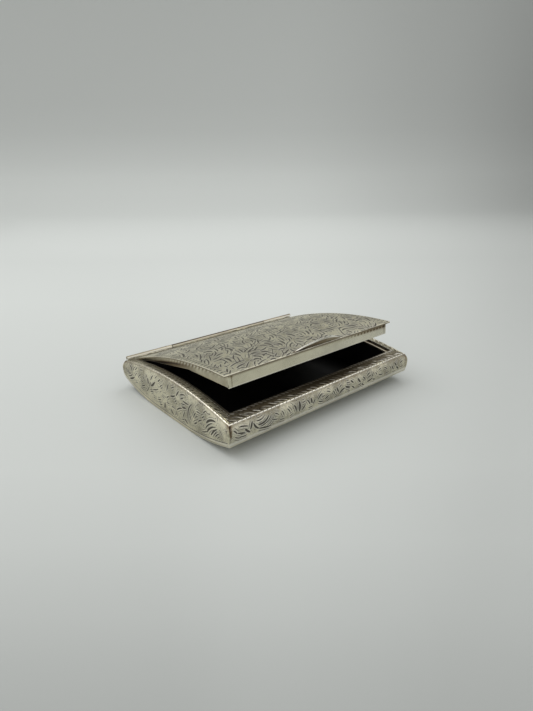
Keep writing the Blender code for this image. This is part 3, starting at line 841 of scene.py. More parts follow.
def side_grid(sizes, along, is_end, facing, plate):
    """Points of one bulging side on a grid, its places along and down it, and how deep it is cut.

    A row's depth runs from the rim to the seat on the floor sheet. The height at depth d is the
    rim's height less d, plus the crown's share above and less the bow's share below. The columns
    reach to the mitre: a half length plus the bulge less the inset. The cuts go inwards along the
    section's own normal, and are measured down from the rim, with the land above it negative.
    """
    inset, drop, share = wall_section(sizes, END_ROWS if is_end else FRONT_ROWS)
    s = along[None, :]
    inner = np.zeros((len(inset), len(along)))
    inner[:, [0, -1]] = sizes.sheet
    inset = np.maximum(inset, inner)
    across = s if is_end else np.ones_like(s)
    rise = sizes.rim_crown * (1 - across ** 2)
    bow = sizes.floor_bow * bow_share(sizes, across)
    stretch = 1 + (rise + bow) / sizes.side_height
    foot = sizes.side_height - (sizes.sheet + FOOT_GAP) / stretch
    depth = drop + share * (foot - drop)
    low = depth / sizes.side_height
    bulge = side_bulge_at(sizes, depth)
    out = bulge - inset
    z = sizes.rim_height - depth + rise * (1 - low) - bow * low
    down = depth * stretch - inset
    half = sizes.half_width if is_end else sizes.half_length
    way = s * (half + out)
    cut = plate.cover(way, down)
    cut[[0, -1], :] = 0
    cut[:, [0, 1, -2, -1]] = 0
    along_out, along_z = np.gradient(out, axis=0), np.gradient(z, axis=0)
    size = np.maximum(np.hypot(along_out, along_z), 1e-9)
    out = out + CUT_PRESS * cut * along_z / size
    z = z - CUT_PRESS * cut * along_out / size
    if is_end:
        x, y = facing * (sizes.half_length + out), way
    else:
        x, y = way, facing * (sizes.half_width + out)
    return np.stack((x, y, z), axis=-1), way, down, cut


# Cuts along the front in millimetres: start and end, each by its way from the middle and its depth
# below the rim, then bend and width
FRONT_CUTS = (
    (-54.0, 2.4, -52.4, 4.2, 0.4, 0.50), (-53.6, 5.2, -50.8, 6.6, -0.4, 0.40),
    (-51.2, 1.9, -46.8, 3.0, 0.4, 0.50), (-52.2, 4.0, -48.4, 4.9, -0.4, 0.60),
    (-51.4, 6.0, -47.6, 6.3, -0.5, 0.45), (-48.6, 3.6, -46.2, 5.8, -0.3, 0.85),
    (-46.0, 4.6, -44.8, 1.7, 0.3, 0.80), (-44.4, 2.6, -41.6, 5.9, -0.9, 0.75),
    (-41.8, 5.8, -35.0, 6.9, -0.3, 0.65), (-42.2, 4.0, -36.6, 1.9, -1.3, 0.85),
    (-41.2, 5.2, -35.2, 2.0, -1.1, 0.55), (-43.0, 2.2, -38.6, 1.5, -0.9, 0.45),
    (-37.6, 6.2, -33.8, 2.6, -0.8, 0.40), (-34.8, 4.4, -32.0, 5.2, -0.5, 0.45),
    (-33.4, 2.3, -31.4, 3.6, 0.4, 0.40), (-29.8, 2.4, -28.6, 5.4, 0.6, 0.40),
    (-31.0, 5.9, -28.2, 6.3, -0.4, 0.40), (-26.8, 2.6, -25.2, 5.0, 0.7, 0.45),
    (-25.4, 6.4, -23.4, 5.6, -0.4, 0.40), (-22.9, 2.4, -21.9, 5.6, 0.8, 0.70),
    (-19.9, 1.7, -19.9, 6.3, 0.25, 1.05), (-18.5, 5.9, -16.5, 3.9, -0.4, 0.75),
    (-18.3, 2.6, -16.3, 2.4, -0.5, 0.40), (-15.4, 2.4, -14.0, 4.8, 0.5, 0.50),
    (-13.1, 2.4, -12.4, 4.9, -0.3, 0.85), (-14.6, 6.3, -12.0, 6.2, -0.5, 0.45),
    (-11.8, 5.3, -10.7, 3.4, 0.3, 0.65), (-8.9, 4.4, -6.0, 2.3, 1.0, 0.65),
    (-8.5, 5.2, -5.4, 6.1, -0.7, 0.60), (-6.6, 4.2, -4.7, 3.6, 0.5, 0.50),
    (-4.5, 5.4, -2.2, 4.3, -0.5, 0.70), (-3.2, 2.3, -1.2, 3.1, 0.4, 0.45),
    (-3.6, 6.9, -1.2, 6.4, -0.3, 0.40), (0.6, 3.2, 2.0, 5.6, 0.5, 0.45), (3.1, 2.4, 4.4, 4.9, -0.5, 0.80),
    (4.8, 2.9, 6.6, 2.1, 0.4, 0.45), (4.9, 6.1, 8.5, 4.2, 0.8, 0.90), (1.6, 6.8, 3.6, 6.3, -0.3, 0.40),
    (8.9, 3.7, 12.3, 5.0, -0.4, 0.85), (9.6, 2.2, 12.0, 2.4, -0.5, 0.45),
    (12.6, 2.0, 14.3, 3.5, 0.3, 0.75), (13.2, 4.9, 15.5, 6.7, 0.4, 0.60),
    (10.2, 6.4, 12.4, 6.9, -0.3, 0.40), (17.5, 2.4, 19.5, 4.7, -0.3, 0.95),
    (18.0, 5.7, 20.0, 5.3, -0.7, 0.50), (20.9, 2.6, 22.9, 5.2, 1.2, 0.50),
    (20.6, 5.7, 22.4, 6.9, -1.0, 0.60), (24.0, 3.0, 26.9, 2.0, 0.6, 0.50),
    (24.2, 4.4, 27.4, 3.3, 0.5, 0.55), (24.6, 6.0, 28.4, 5.1, -0.5, 0.80),
    (27.9, 4.4, 29.0, 2.3, 0.3, 0.65), (28.6, 5.9, 30.8, 6.5, -0.4, 0.65),
    (30.4, 3.0, 31.8, 4.9, 0.6, 0.45), (33.2, 4.9, 36.4, 5.4, -0.6, 0.60),
    (32.8, 2.7, 35.0, 2.1, 0.4, 0.40), (37.4, 2.4, 39.6, 3.8, 0.5, 0.45),
    (38.6, 5.9, 41.2, 5.3, -0.5, 0.45), (41.4, 2.6, 42.6, 4.6, 0.4, 0.40),
    (43.5, 3.2, 45.2, 5.5, -0.6, 0.60), (45.7, 2.2, 47.1, 4.3, 0.3, 0.75),
    (47.3, 4.6, 49.2, 6.2, -0.4, 0.85), (49.9, 3.8, 52.4, 2.9, 0.9, 0.65),
    (50.6, 5.9, 53.2, 5.1, -0.6, 0.55), (44.2, 6.7, 46.6, 6.5, -0.4, 0.40),
)
# The same for an end, from the hinge's side to the front
END_CUTS = (
    (-40.6, 3.4, -38.0, 6.2, -1.0, 0.55), (-38.9, 4.2, -36.2, 5.6, -1.5, 0.60),
    (-37.0, 2.0, -34.6, 5.0, 1.5, 0.70), (-38.8, 7.4, -33.9, 5.7, -0.9, 0.55),
    (-37.8, 8.9, -32.0, 7.1, -0.5, 0.90), (-33.2, 3.9, -31.8, 1.9, 0.4, 0.50),
    (-31.2, 3.4, -29.4, 1.6, -0.3, 0.60), (-32.0, 9.9, -29.0, 10.0, 0.5, 0.45),
    (-31.2, 6.4, -28.8, 4.4, 0.6, 0.40), (-28.2, 7.0, -24.6, 4.7, 1.0, 0.45),
    (-23.6, 4.9, -21.3, 8.2, 1.3, 0.50), (-26.0, 7.2, -23.4, 7.5, -1.5, 0.45),
    (-25.0, 9.9, -21.6, 9.2, -0.6, 0.65), (-27.0, 11.8, -23.4, 12.2, 0.4, 0.40),
    (-26.4, 2.6, -23.8, 2.4, 0.5, 0.40), (-20.2, 11.8, -17.6, 8.9, -0.5, 0.50),
    (-20.4, 3.2, -18.8, 5.2, 0.5, 0.45), (-18.3, 4.8, -17.2, 7.6, -0.4, 0.85),
    (-15.4, 5.0, -13.7, 2.4, 0.3, 0.70), (-16.5, 8.3, -15.4, 6.0, 0.3, 0.65),
    (-14.9, 7.8, -11.3, 4.8, -0.4, 1.05), (-13.6, 9.2, -8.2, 7.4, -0.4, 0.50),
    (-16.6, 11.2, -13.4, 10.6, 0.6, 0.45), (-11.6, 3.4, -10.2, 1.9, 0.3, 0.40),
    (-8.8, 3.9, -7.0, 2.3, -0.5, 0.65), (-7.0, 6.2, -4.4, 4.4, 0.7, 0.40),
    (-9.8, 12.9, -6.9, 12.2, -0.5, 0.60), (-8.7, 15.1, -6.2, 14.4, -0.4, 0.50),
    (-4.4, 15.4, -3.2, 12.3, -0.2, 0.95), (-14.2, 13.2, -11.8, 13.6, 0.5, 0.45),
    (-5.6, 9.4, -3.2, 10.4, -0.5, 0.40), (0.1, 2.5, -0.8, 5.8, 0.2, 0.60),
    (-1.2, 9.2, 1.2, 7.9, 0.5, 0.45), (2.4, 7.0, 6.4, 5.4, -0.5, 0.70), (2.8, 3.4, 5.0, 2.2, 0.4, 0.40),
    (7.3, 5.1, 9.0, 2.5, 0.3, 0.75), (9.8, 3.9, 13.8, 2.5, 0.6, 0.45), (10.6, 5.3, 13.0, 4.1, 0.4, 0.45),
    (12.6, 5.2, 17.0, 5.0, -0.5, 0.60), (11.2, 7.0, 14.2, 6.2, -0.4, 0.45),
    (11.8, 8.6, 15.0, 7.5, -0.4, 0.60), (7.0, 11.9, 11.8, 9.1, 0.5, 0.60),
    (19.1, 3.9, 15.7, 13.7, -0.8, 0.60), (11.8, 13.0, 13.4, 9.7, -0.3, 0.50),
    (13.0, 13.7, 15.0, 15.0, -0.3, 0.95), (10.2, 14.9, 12.4, 14.2, -0.3, 0.45),
    (1.5, 13.6, 3.3, 15.9, -0.9, 0.90), (2.6, 12.3, 5.8, 12.4, 1.3, 0.45),
    (5.9, 13.1, 4.8, 15.4, 0.9, 0.45), (5.6, 8.9, 7.4, 7.3, 0.5, 0.40),
    (-1.8, 11.6, 0.6, 11.4, -0.6, 0.40), (20.4, 9.4, 22.4, 6.2, 0.6, 0.45),
    (22.8, 5.4, 25.6, 5.2, 0.7, 0.45), (20.6, 12.2, 23.0, 10.4, 0.4, 0.55),
    (23.9, 9.3, 26.6, 7.4, 0.5, 0.45), (21.8, 8.6, 24.0, 7.2, 0.7, 0.40),
    (17.6, 11.8, 18.6, 9.2, 0.4, 0.40), (29.8, 6.8, 36.2, 2.9, 0.9, 0.85),
    (28.8, 9.8, 34.4, 4.4, 0.5, 0.40), (29.6, 11.2, 36.6, 4.8, 0.6, 0.50),
    (32.4, 10.8, 37.4, 5.2, 0.4, 0.62), (35.6, 9.6, 38.4, 6.6, 0.4, 0.40),
    (26.0, 12.8, 29.8, 10.6, -0.3, 0.45), (27.6, 3.6, 29.2, 2.0, 0.3, 0.40),
    (38.6, 4.6, 40.4, 6.6, 0.6, 0.45), (26.8, 6.2, 28.6, 4.6, 0.4, 0.40),
)
# Thin cuts beside the placed ones: distance on both sides, width and depth
BESIDE = (0.00105, 0.00040, 0.8)


class CASE_OT_walls(bpy.types.Operator):
    """Build the four bulging, engraved sides"""

    bl_idname = "case.walls"
    bl_label = "Engraved sides"

    def execute(self, context):
        sizes = context.scene.case_sizes
        rng = np.random.default_rng(11)
        plans = (
            ("engraved_front", "front_wall", False, -1, 1), ("engraved_back", "back_wall", False, 1, -1),
            ("engraved_left_end", "left_end_wall", True, -1, -1),
            ("engraved_right_end", "right_end_wall", True, 1, -1),
        )
        for name, node, is_end, facing, turn in plans:
            half = sizes.half_width if is_end else sizes.half_length
            along = doubled_ends(-1, 1, int(2 * half / WALL_STEP))
            plate = Plate((-half - 0.002, -0.001), (half + 0.002, 0.0195), DRAWN_STEP)
            self.engrave(plate, sizes, half, is_end, turn, rng)
            points, way, down, cut = side_grid(sizes, along, is_end, facing, plate)
            # Painted highlight on the lip beside every cut
            lip_highlight = LIP_HIGHLIGHT_SHARE * plate.lip_highlight().cover(way, down)
            # Bright: rubbing and painted highlight at the rim, painted reflection at the foot; shade: brown rim
            # band, painted crease shade
            values = {
                "cut": cut, "bright": np.maximum(self.rubbing_and_highlight(sizes, way, down, half, is_end), lip_highlight),
                "shade": self.tarnish_and_shade(way, down, half, is_end),
            }
            if is_end:
                points = points.transpose(1, 0, 2)
                values = {key: value.T for key, value in values.items()}
            # Painted light: the ends a little lighter, the front and back a little darker, as lit and shaded
            # copies of one silver
            finish = engraved_silver(name + "_silver", 0.03 if is_end else -0.05)
            silver_object(name, points, sheet_faces, finish, "root", [node], values)
        return {"FINISHED"}

    def engraved_height(self, sizes, s, is_end):
        """Height of a side's engraved part at s, -1 to 1 along it, above the plain strip at its foot."""
        if not is_end:
            return np.full(s.shape, sizes.side_height - FOOT_PLAIN_FRONT)
        rise = sizes.rim_crown * (1 - s * s) + sizes.floor_bow * bow_share(sizes, s)
        return sizes.side_height + rise - FOOT_PLAIN_END

    def engrave(self, plate, sizes, half, is_end, turn, rng):
        """Presses in the placed cuts, thin ones beside them and the line above the foot.

        The ground between the cuts and the notches along the rim stop at that line, so that the strip
        below it stays plain.
        """
        cuts = placed(END_CUTS if is_end else FRONT_CUTS, WALL_WIDEN)
        cuts = cuts if turn > 0 else mirrored(cuts)
        plate.engrave(cuts)
        distance, width, depth = BESIDE
        for offset in (distance, -distance):
            near = beside(cuts, offset, width, depth)
            near[:, DEPTH] *= rng.uniform(0.3, 1.0, len(near))
            plate.engrave(only_where_bare(plate, near, 0.15))
        s = np.linspace(-1, 1, 61)
        foot = self.engraved_height(sizes, s, is_end)
        step = 2 * half / 60
        width, depth = FOOT_LINE_END if is_end else FOOT_LINE_FRONT
        plate.engrave(strokes(
            a=s[:-1] * half - 0.1 * step, b=foot[:-1] + 0.0003, heading=np.arctan2(np.diff(foot), step),
            length=1.35 * step, bend=0, width=width, depth=depth,
        ))
        filling = plate.copy()
        spacing, width, depth = WALL_GROUND
        ground(filling, (-half, 0.0007), (half, foot.max()), spacing, width, rng, depth)
        spacing, length, width = RIM_NOTCH
        filling.engrave(strokes(
            a=np.arange(-half, half, spacing), b=-0.0004, heading=math.pi / 2 + 0.5, length=length, bend=0,
            width=width, depth=0.8,
        ))
        rows, columns = (
            low + plate.step * np.arange(count) for low, count in zip(plate.low[::-1], plate.depth.shape)
        )
        above = rows[:, None] < np.interp(columns, s * half, foot)[None, :]
        plate.depth = np.where(above, filling.depth, plate.depth)

    def rubbing_and_highlight(self, sizes, way, down, half, is_end):
        """Painted highlight with rubbing along the rim, and painted reflection on the plain strip at the foot.
        """
        height = self.engraved_height(sizes, np.clip(way / half, -1, 1), is_end)
        rim, foot = (0.5, 0.4) if is_end else (0.85, 0.6)
        return np.maximum(rim * bell(down, 0.00002, 0.00019), foot * climb(down, height, 0.0008))

    def tarnish_and_shade(self, way, down, half, is_end):
        """Brown along the rim, and painted shade beside the upright creases, darkest at the top of the front's
        left end.
        """
        crease = bell(np.abs(way), half, 0.0013) * bell(down, 0, 0.006)
        edge = 0.3 * bell(down, 0.0006, 0.0006)
        if is_end:
            return np.clip(0.35 * crease + edge, 0, 1)
        reach = 0.0010 * np.clip(1 - down / 0.0085, 0.15, 1)
        left = bell(way, -half - 0.0004, reach) * bell(np.maximum(down, 0.0045), 0.0045, 0.0012)
        darkening = np.where(way < 0, 0.9 * left, 0.4 * crease)
        return np.clip(darkening * (down > 0.0002) + edge, 0, 1)


class CASE_OT_floor_sheet(bpy.types.Operator):
    """Build the bowed floor sheet"""

    bl_idname = "case.floor_sheet"
    bl_label = "Floor sheet"

    def execute(self, context):
        sizes = context.scene.case_sizes
        edge = float(side_bulge_at(sizes, np.array(sizes.side_height - sizes.sheet)))
        along, across, depth = sheet_grid(*(
            edged_axis(-half - edge, half + edge, step, sizes.sheet, FLOOR_ROUND, 6)
            for half, step in ((sizes.half_length, 0.002), (sizes.half_width, 0.0012))
        ))
        points = np.stack((along, across, floor_height(sizes, across) + depth), axis=-1)
        # Painted highlight on the sheet's rounded edge, and painted shade on its edge face and underside
        values = {"bright": 0.3 * bell(depth, 0.0002, 0.0003), "shade": 0.25 * (depth > 0.0006)}
        silver_object(
            "floor_sheet", points, sheet_faces, plain_silver("floor_sheet_silver", 0.5), "root",
            ["bottom_panel"], values,
        )
        return {"FINISHED"}


class CASE_OT_border(bpy.types.Operator):
    """Build the engraved border strips and the ledge strips under them"""

    bl_idname = "case.border"
    bl_label = "Border and ledge"

    def execute(self, context):
        sizes = context.scene.case_sizes
        front, end = sizes.border_front, sizes.border_end
        drop = sizes.ledge_drop
        self.strips(sizes, "border", front, end, 0.0, drop - FIT_GAP, np.random.default_rng(23))
        front, end = front + sizes.ledge_front, end + sizes.ledge_end
        self.strips(sizes, "ledge", front, end, drop, sizes.sheet, None)
        return {"FINISHED"}

    def strips(self, sizes, kind, front, end, top_drop, thickness, rng):
        """A front strip and two end strips that reach in from the rim by front and end.

        They meet on a mitre where the way in from the end is end / front times the way in from the
        front. At the back an end strip is cut off at 45 degrees. Strips with rng are engraved.
        """
        share = end / front
        step = BORDER_STEP if rng else PLAIN_STEP
        half = sizes.half_width
        y, drop_y = edged_axis(sizes.sheet - half, front - half, step, thickness, STRIP_ROUND, 3)
        s, drop_s = self.run(-1, 2 * sizes.half_length / step, thickness)
        reach = sizes.half_length - (half - np.abs(y)) * share - FIT_GAP
        along, across = np.broadcast_arrays(s * reach[:, None], y[:, None])
        depth = np.maximum(drop_s, drop_y[:, None])
        self.finish(sizes, kind, "front", along, across, depth, top_drop, along, across + half, front, rng)
        for side, facing in (("left", -1), ("right", 1)):
            inset, drop_x = edged_axis(sizes.sheet, end, step, thickness, STRIP_ROUND, 3)
            s, drop_s = self.run(0, 2 * half / step, thickness)
            low, high = -half + inset / share + FIT_GAP, half - inset - FIT_GAP
            across = low + s[:, None] * (high - low)
            along, inset = np.broadcast_arrays(facing * (sizes.half_length - inset), inset, across)[:2]
            depth = np.maximum(drop_x, drop_s[:, None])
            self.finish(sizes, kind, side, along, across, depth, top_drop, across, inset, end, rng)

    def run(self, low, count, thickness):
        """Shares low to 1 along a strip with its cut ends, and the depths there."""
        s = doubled_ends(low, 1, int(count))
        drop = np.zeros(len(s))
        drop[[0, -1]] = thickness
        return s, drop

    def finish(self, sizes, kind, side, along, across, depth, top_drop, way, inset, inner, rng):
        """Makes a strip's object, engraved if it is a border."""
        name = f"{kind}_{side}_strip"
        # Painted highlight along the strip's inner edge
        edge = 0.25 * bell(inset, inner - 0.0001, 0.00015) * (depth < 0.0002)
        if rng:
            flat = depth == 0
            cut, leaf = (plate.cover(way, inset) * flat for plate in self.engrave(sizes, inner, rng))
            depth = depth + CUT_PRESS * cut
            # Painted shade: the ground dims inwards towards the lid and in the middle of the front, less to its
            # right and on the leaves
            level, on_leaf = DIM_FRONT if side == "front" else DIM_END
            dim = level + 0.26 * (inset - sizes.sheet) / (inner - sizes.sheet) - on_leaf * leaf
            # The leaves' painted highlight, strongest at the front's left end and on its right half
            glint = 0.60
            if side == "front":
                dim += 0.42 * bell(along, 0.006, 0.03) - 0.18 * climb(along, 0, 0.05)
                glint += 0.35 * bell(along, -0.045, 0.011) + 0.45 * climb(along, 0, 0.04)
            # The painted shade also darkens the ground through the cut's colour
            cut = np.maximum(cut, np.clip(0.06 + 0.40 * dim, 0, 1) * flat)
            values = {"cut": cut, "bright": np.maximum(edge, glint * leaf), "shade": 0.45 * dim}
            node, slot = "border_" + side, "engraved_silver"
            silver = engraved_silver(name + "_silver")
        else:
            # Painted shade over the whole ledge, with painted highlight along its inner edge
            values = {"bright": edge, "shade": 0.45}
            node, slot = "bearer_" + side, "plain_silver"
            silver = plain_silver(name + "_silver", 0.8, rough=0.3)
        points = crown_points(sizes, along, across, depth, top_drop)
        silver_object(name, points, sheet_faces, silver, "root", [node], values)

    def engrave(self, sizes, inner, rng):
        """A plate of dark cuts and one of bright leaves.

        Slanted leaves stand along the rim with two dark lines between neighbours. Behind them come short
        bars, and a looser row of dark and bright cuts that lean the same way and reach to the lid's seat.
        """
        half, start, pitch = sizes.half_length, sizes.sheet, BORDER_LEAF
        cuts, leaves = (Plate((-half, 0.0), (half, 0.006), DRAWN_STEP) for _ in range(2))
        lean = math.pi - LEAF_SLANT
        room = LEAF_SHARE * (inner - start)
        length = room / math.sin(LEAF_SLANT)
        row = hatch_row(-half, half, start - 0.0003, pitch, length, LEAF_WIDTH, lean, 0.35, rng, 1.0)
        row[:, LENGTH] *= rng.uniform(0.65, 1.1, len(row))
        row[:, HEADING] += rng.normal(0, 0.10, len(row))
        row[:, DEPTH] *= rng.uniform(0.3, 1.0, len(row))
        leaves.engrave(row)
        for offset, deep, stretch, width in BORDER_LINES:
            low, high = -half + offset * pitch, half + offset * pitch
            lines = hatch_row(low, high, start, pitch, length * stretch, width, lean, 0.35, rng, deep)
            lines[:, HEADING] += rng.normal(0, 0.14, len(lines))
            lines[:, LENGTH] *= rng.uniform(0.6, 1.1, len(lines))
            lines[:, DEPTH] *= rng.uniform(0.5, 1.0, len(lines))
            cuts.engrave(lines)
        bars = start + room + 0.0003
        cuts.engrave(hatch_row(-half, half, bars, pitch * 0.9, 0.0010, 0.0008, lean, 0.3, rng, 0.4))
        back = inner - bars - 0.0002
        row = hatch_row(-half, half, bars + 0.0001, pitch * 0.43, back * 1.3, 0.00055, lean, 0.3, rng, 0.8)
        row[:, HEADING] += rng.normal(0, 0.25, len(row))
        row[:, DEPTH] *= rng.uniform(0.3, 1.0, len(row))
        cuts.engrave(row)
        low = -half + 0.2 * pitch
        row = hatch_row(low, half, bars + 0.0004, pitch * 0.7, back * 1.2, 0.00075, lean, 0.2, rng, 0.8)
        leaves.engrave(row)
        return cuts, leaves


def bar_points(section, stations):
    """Points of a closed (y, z) section carried along stations in x."""
    return np.stack(np.broadcast_arrays(stations[:, None], section[:, 0], section[:, 1]), axis=-1)


def soft_corners(corners, radius):
    """A closed outline with each corner cut by an arc-like curve through both its sides.

    The curve is quadratic: it leaves one side at radius from the corner and joins the other.
    """
    corners = np.asarray(corners, float)
    before = np.roll(corners, 1, axis=0) - corners
    after = np.roll(corners, -1, axis=0) - corners
    start = corners + before * (radius / np.linalg.norm(before, axis=1))[:, None]
    end = corners + after * (radius / np.linalg.norm(after, axis=1))[:, None]
    t = np.linspace(0, 1, 3)[None, :, None]
    curve = (1 - t) ** 2 * start[:, None] + 2 * t * (1 - t) * corners[:, None] + t ** 2 * end[:, None]
    return curve.reshape(-1, 2)


def turned_tube(start, end, centre):
    """A tube turned about a line along x: its section is closed, with softened corners."""
    corners = ((start, TUBE_RADIUS), (end, TUBE_RADIUS), (end, TUBE_BORE), (start, TUBE_BORE))
    profile = soft_corners(corners, TUBE_ROUND)
    angle = np.linspace(0, 2 * math.pi, TUBE_SIDES, endpoint=False)
    x, away = profile[:, :1], profile[:, 1:]
    return np.stack(np.broadcast_arrays(
        x, centre[0] + away * np.cos(angle), centre[1] + away * np.sin(angle),
    ), axis=-1)


class CASE_OT_hinge(bpy.types.Operator):
    """Build the hinge rail, the fixed tubes and the lid's tube"""

    bl_idname = "case.hinge"
    bl_label = "Hinge"

    def execute(self, context):
        sizes = context.scene.case_sizes
        centre = hinge["pos_m"][1:]
        self.rail(sizes, centre)
        for side, (darkening, haze, side_highlight) in TUBE_LOOKS.items():
            node = "hinge_knuckle_" + side
            low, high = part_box(node)
            points = turned_tube(low[0], high[0], centre)
            # Painted reflection: brown over the tube's top and a light band on its side towards the lid
            tilt = np.arctan2(centre[0] - points[..., 1], points[..., 2] - centre[1])
            top = climb(-tilt, 0.20 - TUBE_HIGHLIGHT, 0.35)
            values = {"shade": darkening * top + haze, "bright": side_highlight * climb(tilt, TUBE_HIGHLIGHT - 0.30, 0.30)}
            body = "lid" if side == "centre" else "root"
            finish = plain_silver(node + "_silver", 0.4, 500.0, 0.24, (0.15, 1, 1))
            silver_object(node + "_tube", points, ring_faces, finish, body, [node], values)
        pin = plain_silver("hinge_pin_silver", 0.5)
        frame["nodes"]["hinge_pin"].material_slots[0].material = pin
        return {"FINISHED"}

    def rail(self, sizes, centre):
        """The rail: a bar with a low bed under the tubes and a level seat under the lid's back edge."""
        low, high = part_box("hinge_rail")
        front, back = low[1], sizes.half_width - sizes.sheet - FIT_GAP
        bed = centre[1] - 0.0013
        seat = crown_height(sizes, 0.0404) - sizes.sheet - sizes.lid_gap
        section = soft_corners((
            (front, low[2]), (back, low[2]), (back, bed), (RAIL_BED, bed), (RAIL_BED, seat), (front, seat),
        ), STRIP_ROUND)
        points = bar_points(section, np.linspace(low[0] + 0.0004, high[0] - 0.0004, 60))
        silver_object(
            "hinge_rail_bar", points, bar_faces, plain_silver("hinge_rail_silver", 0.6), "root",
            ["hinge_rail"], {"shade": 0.2, "bright": 0.0},
        )


# Cuts placed on the lid in millimetres: start and end (x, y), bend and width
LID_CUTS = (
    (-47.6, -34.6, -45.6, -31.6, -0.5, 1.40), (-43.6, -31.0, -34.6, -29.2, -0.7, 1.10),
    (-42.6, -33.8, -37.0, -32.2, -0.6, 1.30), (-39.4, -36.0, -34.4, -31.6, -0.5, 0.90),
    (-35.0, -35.6, -32.6, -33.0, -0.6, 1.00), (-49.0, -29.4, -47.2, -26.6, -0.4, 1.20),
    (-46.2, -28.4, -44.4, -25.6, -0.4, 1.00), (-43.4, -26.6, -40.6, -24.2, 0.5, 1.10),
    (-37.0, -24.4, -33.6, -19.8, -0.4, 1.10), (-30.4, -34.0, -28.8, -31.4, 0.5, 0.80),
    (-26.4, -30.6, -22.8, -28.8, -0.6, 1.20), (-22.6, -24.2, -17.6, -22.4, 0.7, 1.40),
    (-23.0, -34.4, -20.0, -31.6, 0.4, 0.90), (-17.0, -29.6, -12.4, -30.8, -0.9, 1.20),
    (-8.8, -31.6, -5.6, -29.6, 0.6, 0.90), (-4.6, -23.6, -2.2, -20.4, -0.3, 1.30),
    (-13.6, -22.0, -10.8, -24.2, 0.5, 0.90), (-30.0, -12.6, -26.6, -10.8, 0.6, 1.10),
)


def own_axes(x, y):
    """Places on the lid along its scrolls' own axes: turned, then shortened along the way they are drawn."""
    cosine, sine = math.cos(SCROLL_AXIS), math.sin(SCROLL_AXIS)
    return x * sine - y * cosine, (x * cosine + y * sine) / SCROLL_PULL


class CASE_OT_lid_plate(bpy.types.Operator):
    """Build the arched, engraved lid sheet"""

    bl_idname = "case.lid_plate"
    bl_label = "Lid sheet"

    def execute(self, context):
        sizes = context.scene.case_sizes
        half = sizes.half_length - sizes.border_end - sizes.lid_gap
        front = -(sizes.half_width - sizes.border_front - sizes.lid_gap)
        back = LID_BACK
        along, across, depth = sheet_grid(*(
            edged_axis(low, high, LID_STEP, LID_SHEET, LID_ROUND, rows=(0.8, 1.0))
            for low, high in ((-half, half), (front, back))
        ))
        flat = depth == 0
        scrolls = self.scrolls(half, back)
        hatch = self.hatch(half, front, back)
        own = own_axes(along, across)
        inside = climb(half - np.abs(along), 0.0030, 0.0004)
        cut = np.maximum(scrolls.cover(*own) * inside, hatch.cover(along, across)) * flat
        # Painted highlight on the lip beside every cut
        lip_highlight = np.maximum(scrolls.lip_highlight().cover(*own) * inside, hatch.lip_highlight().cover(along, across)) * flat
        from_edge = np.minimum(half - np.abs(along), np.minimum(across - front, back - across))
        # Painted highlight along the sheet's top edges, and a brighter one on its back edge
        rim = 0.25 * bell(from_edge, 0, 0.0002) * (depth < 0.0004)
        back_edge_highlight = 0.9 * bell(across, back, 0.0006)
        # Painted shadow on the lower part of the sheet's front and end faces
        edge = (depth > 0.0004) & (depth < 0.9 * LID_SHEET) & (across < back - 0.001)
        values = {"cut": cut, "bright": np.maximum(np.maximum(rim, lip_highlight), back_edge_highlight), "shade": 0.9 * edge}
        silver_object(
            "lid_engraved_sheet", opened(crown_points(sizes, along, across, depth + CUT_PRESS * cut)),
            sheet_faces, engraved_silver("lid_sheet_silver"), "lid", ["lid_plate"], values,
        )
        return {"FINISHED"}

    def scrolls(self, half, back):
        """A plate in the scrolls' own axes with the placed cuts, the scrolls and the ground."""
        rng = np.random.default_rng(5)
        corner = np.array((own_axes(half, -back)[0], own_axes(half, back)[1]))
        plate = Plate(-corner - 0.001, corner + 0.001, DRAWN_STEP)
        a, b, end_a, end_b, bend, width = np.asarray(LID_CUTS).T
        ends = (*own_axes(a, b), *own_axes(end_a, end_b))
        plate.engrave(placed(np.stack((*ends, bend, width), axis=1), 0.7))
        engrave_field(plate, -corner, corner, LID_CELL, LID_SCROLL, LID_CUT, rng, LID_FAINT)
        spacing, width, depth = LID_GROUND
        ground(plate, -corner, corner, spacing, width, rng, depth, LID_FAINT)
        plate.soften(1)
        return plate

    def hatch(self, half, front, back):
        """A plate with a row of curved cuts along each end of the lid."""
        plate = Plate((-half - 0.001, front - 0.001), (half + 0.001, back + 0.001), DRAWN_STEP)
        spacing, length, width = LID_HATCH
        count = int((back - front) / spacing)
        b = front + (np.arange(count) + 0.5) * (back - front) / count
        for facing, heading in ((-1, 0.0), (1, math.pi)):
            plate.engrave(strokes(
                a=facing * (half - 0.0005), b=b, heading=heading + 0.6, length=length, bend=-1.2,
                width=width, depth=1.0,
            ))
        return plate


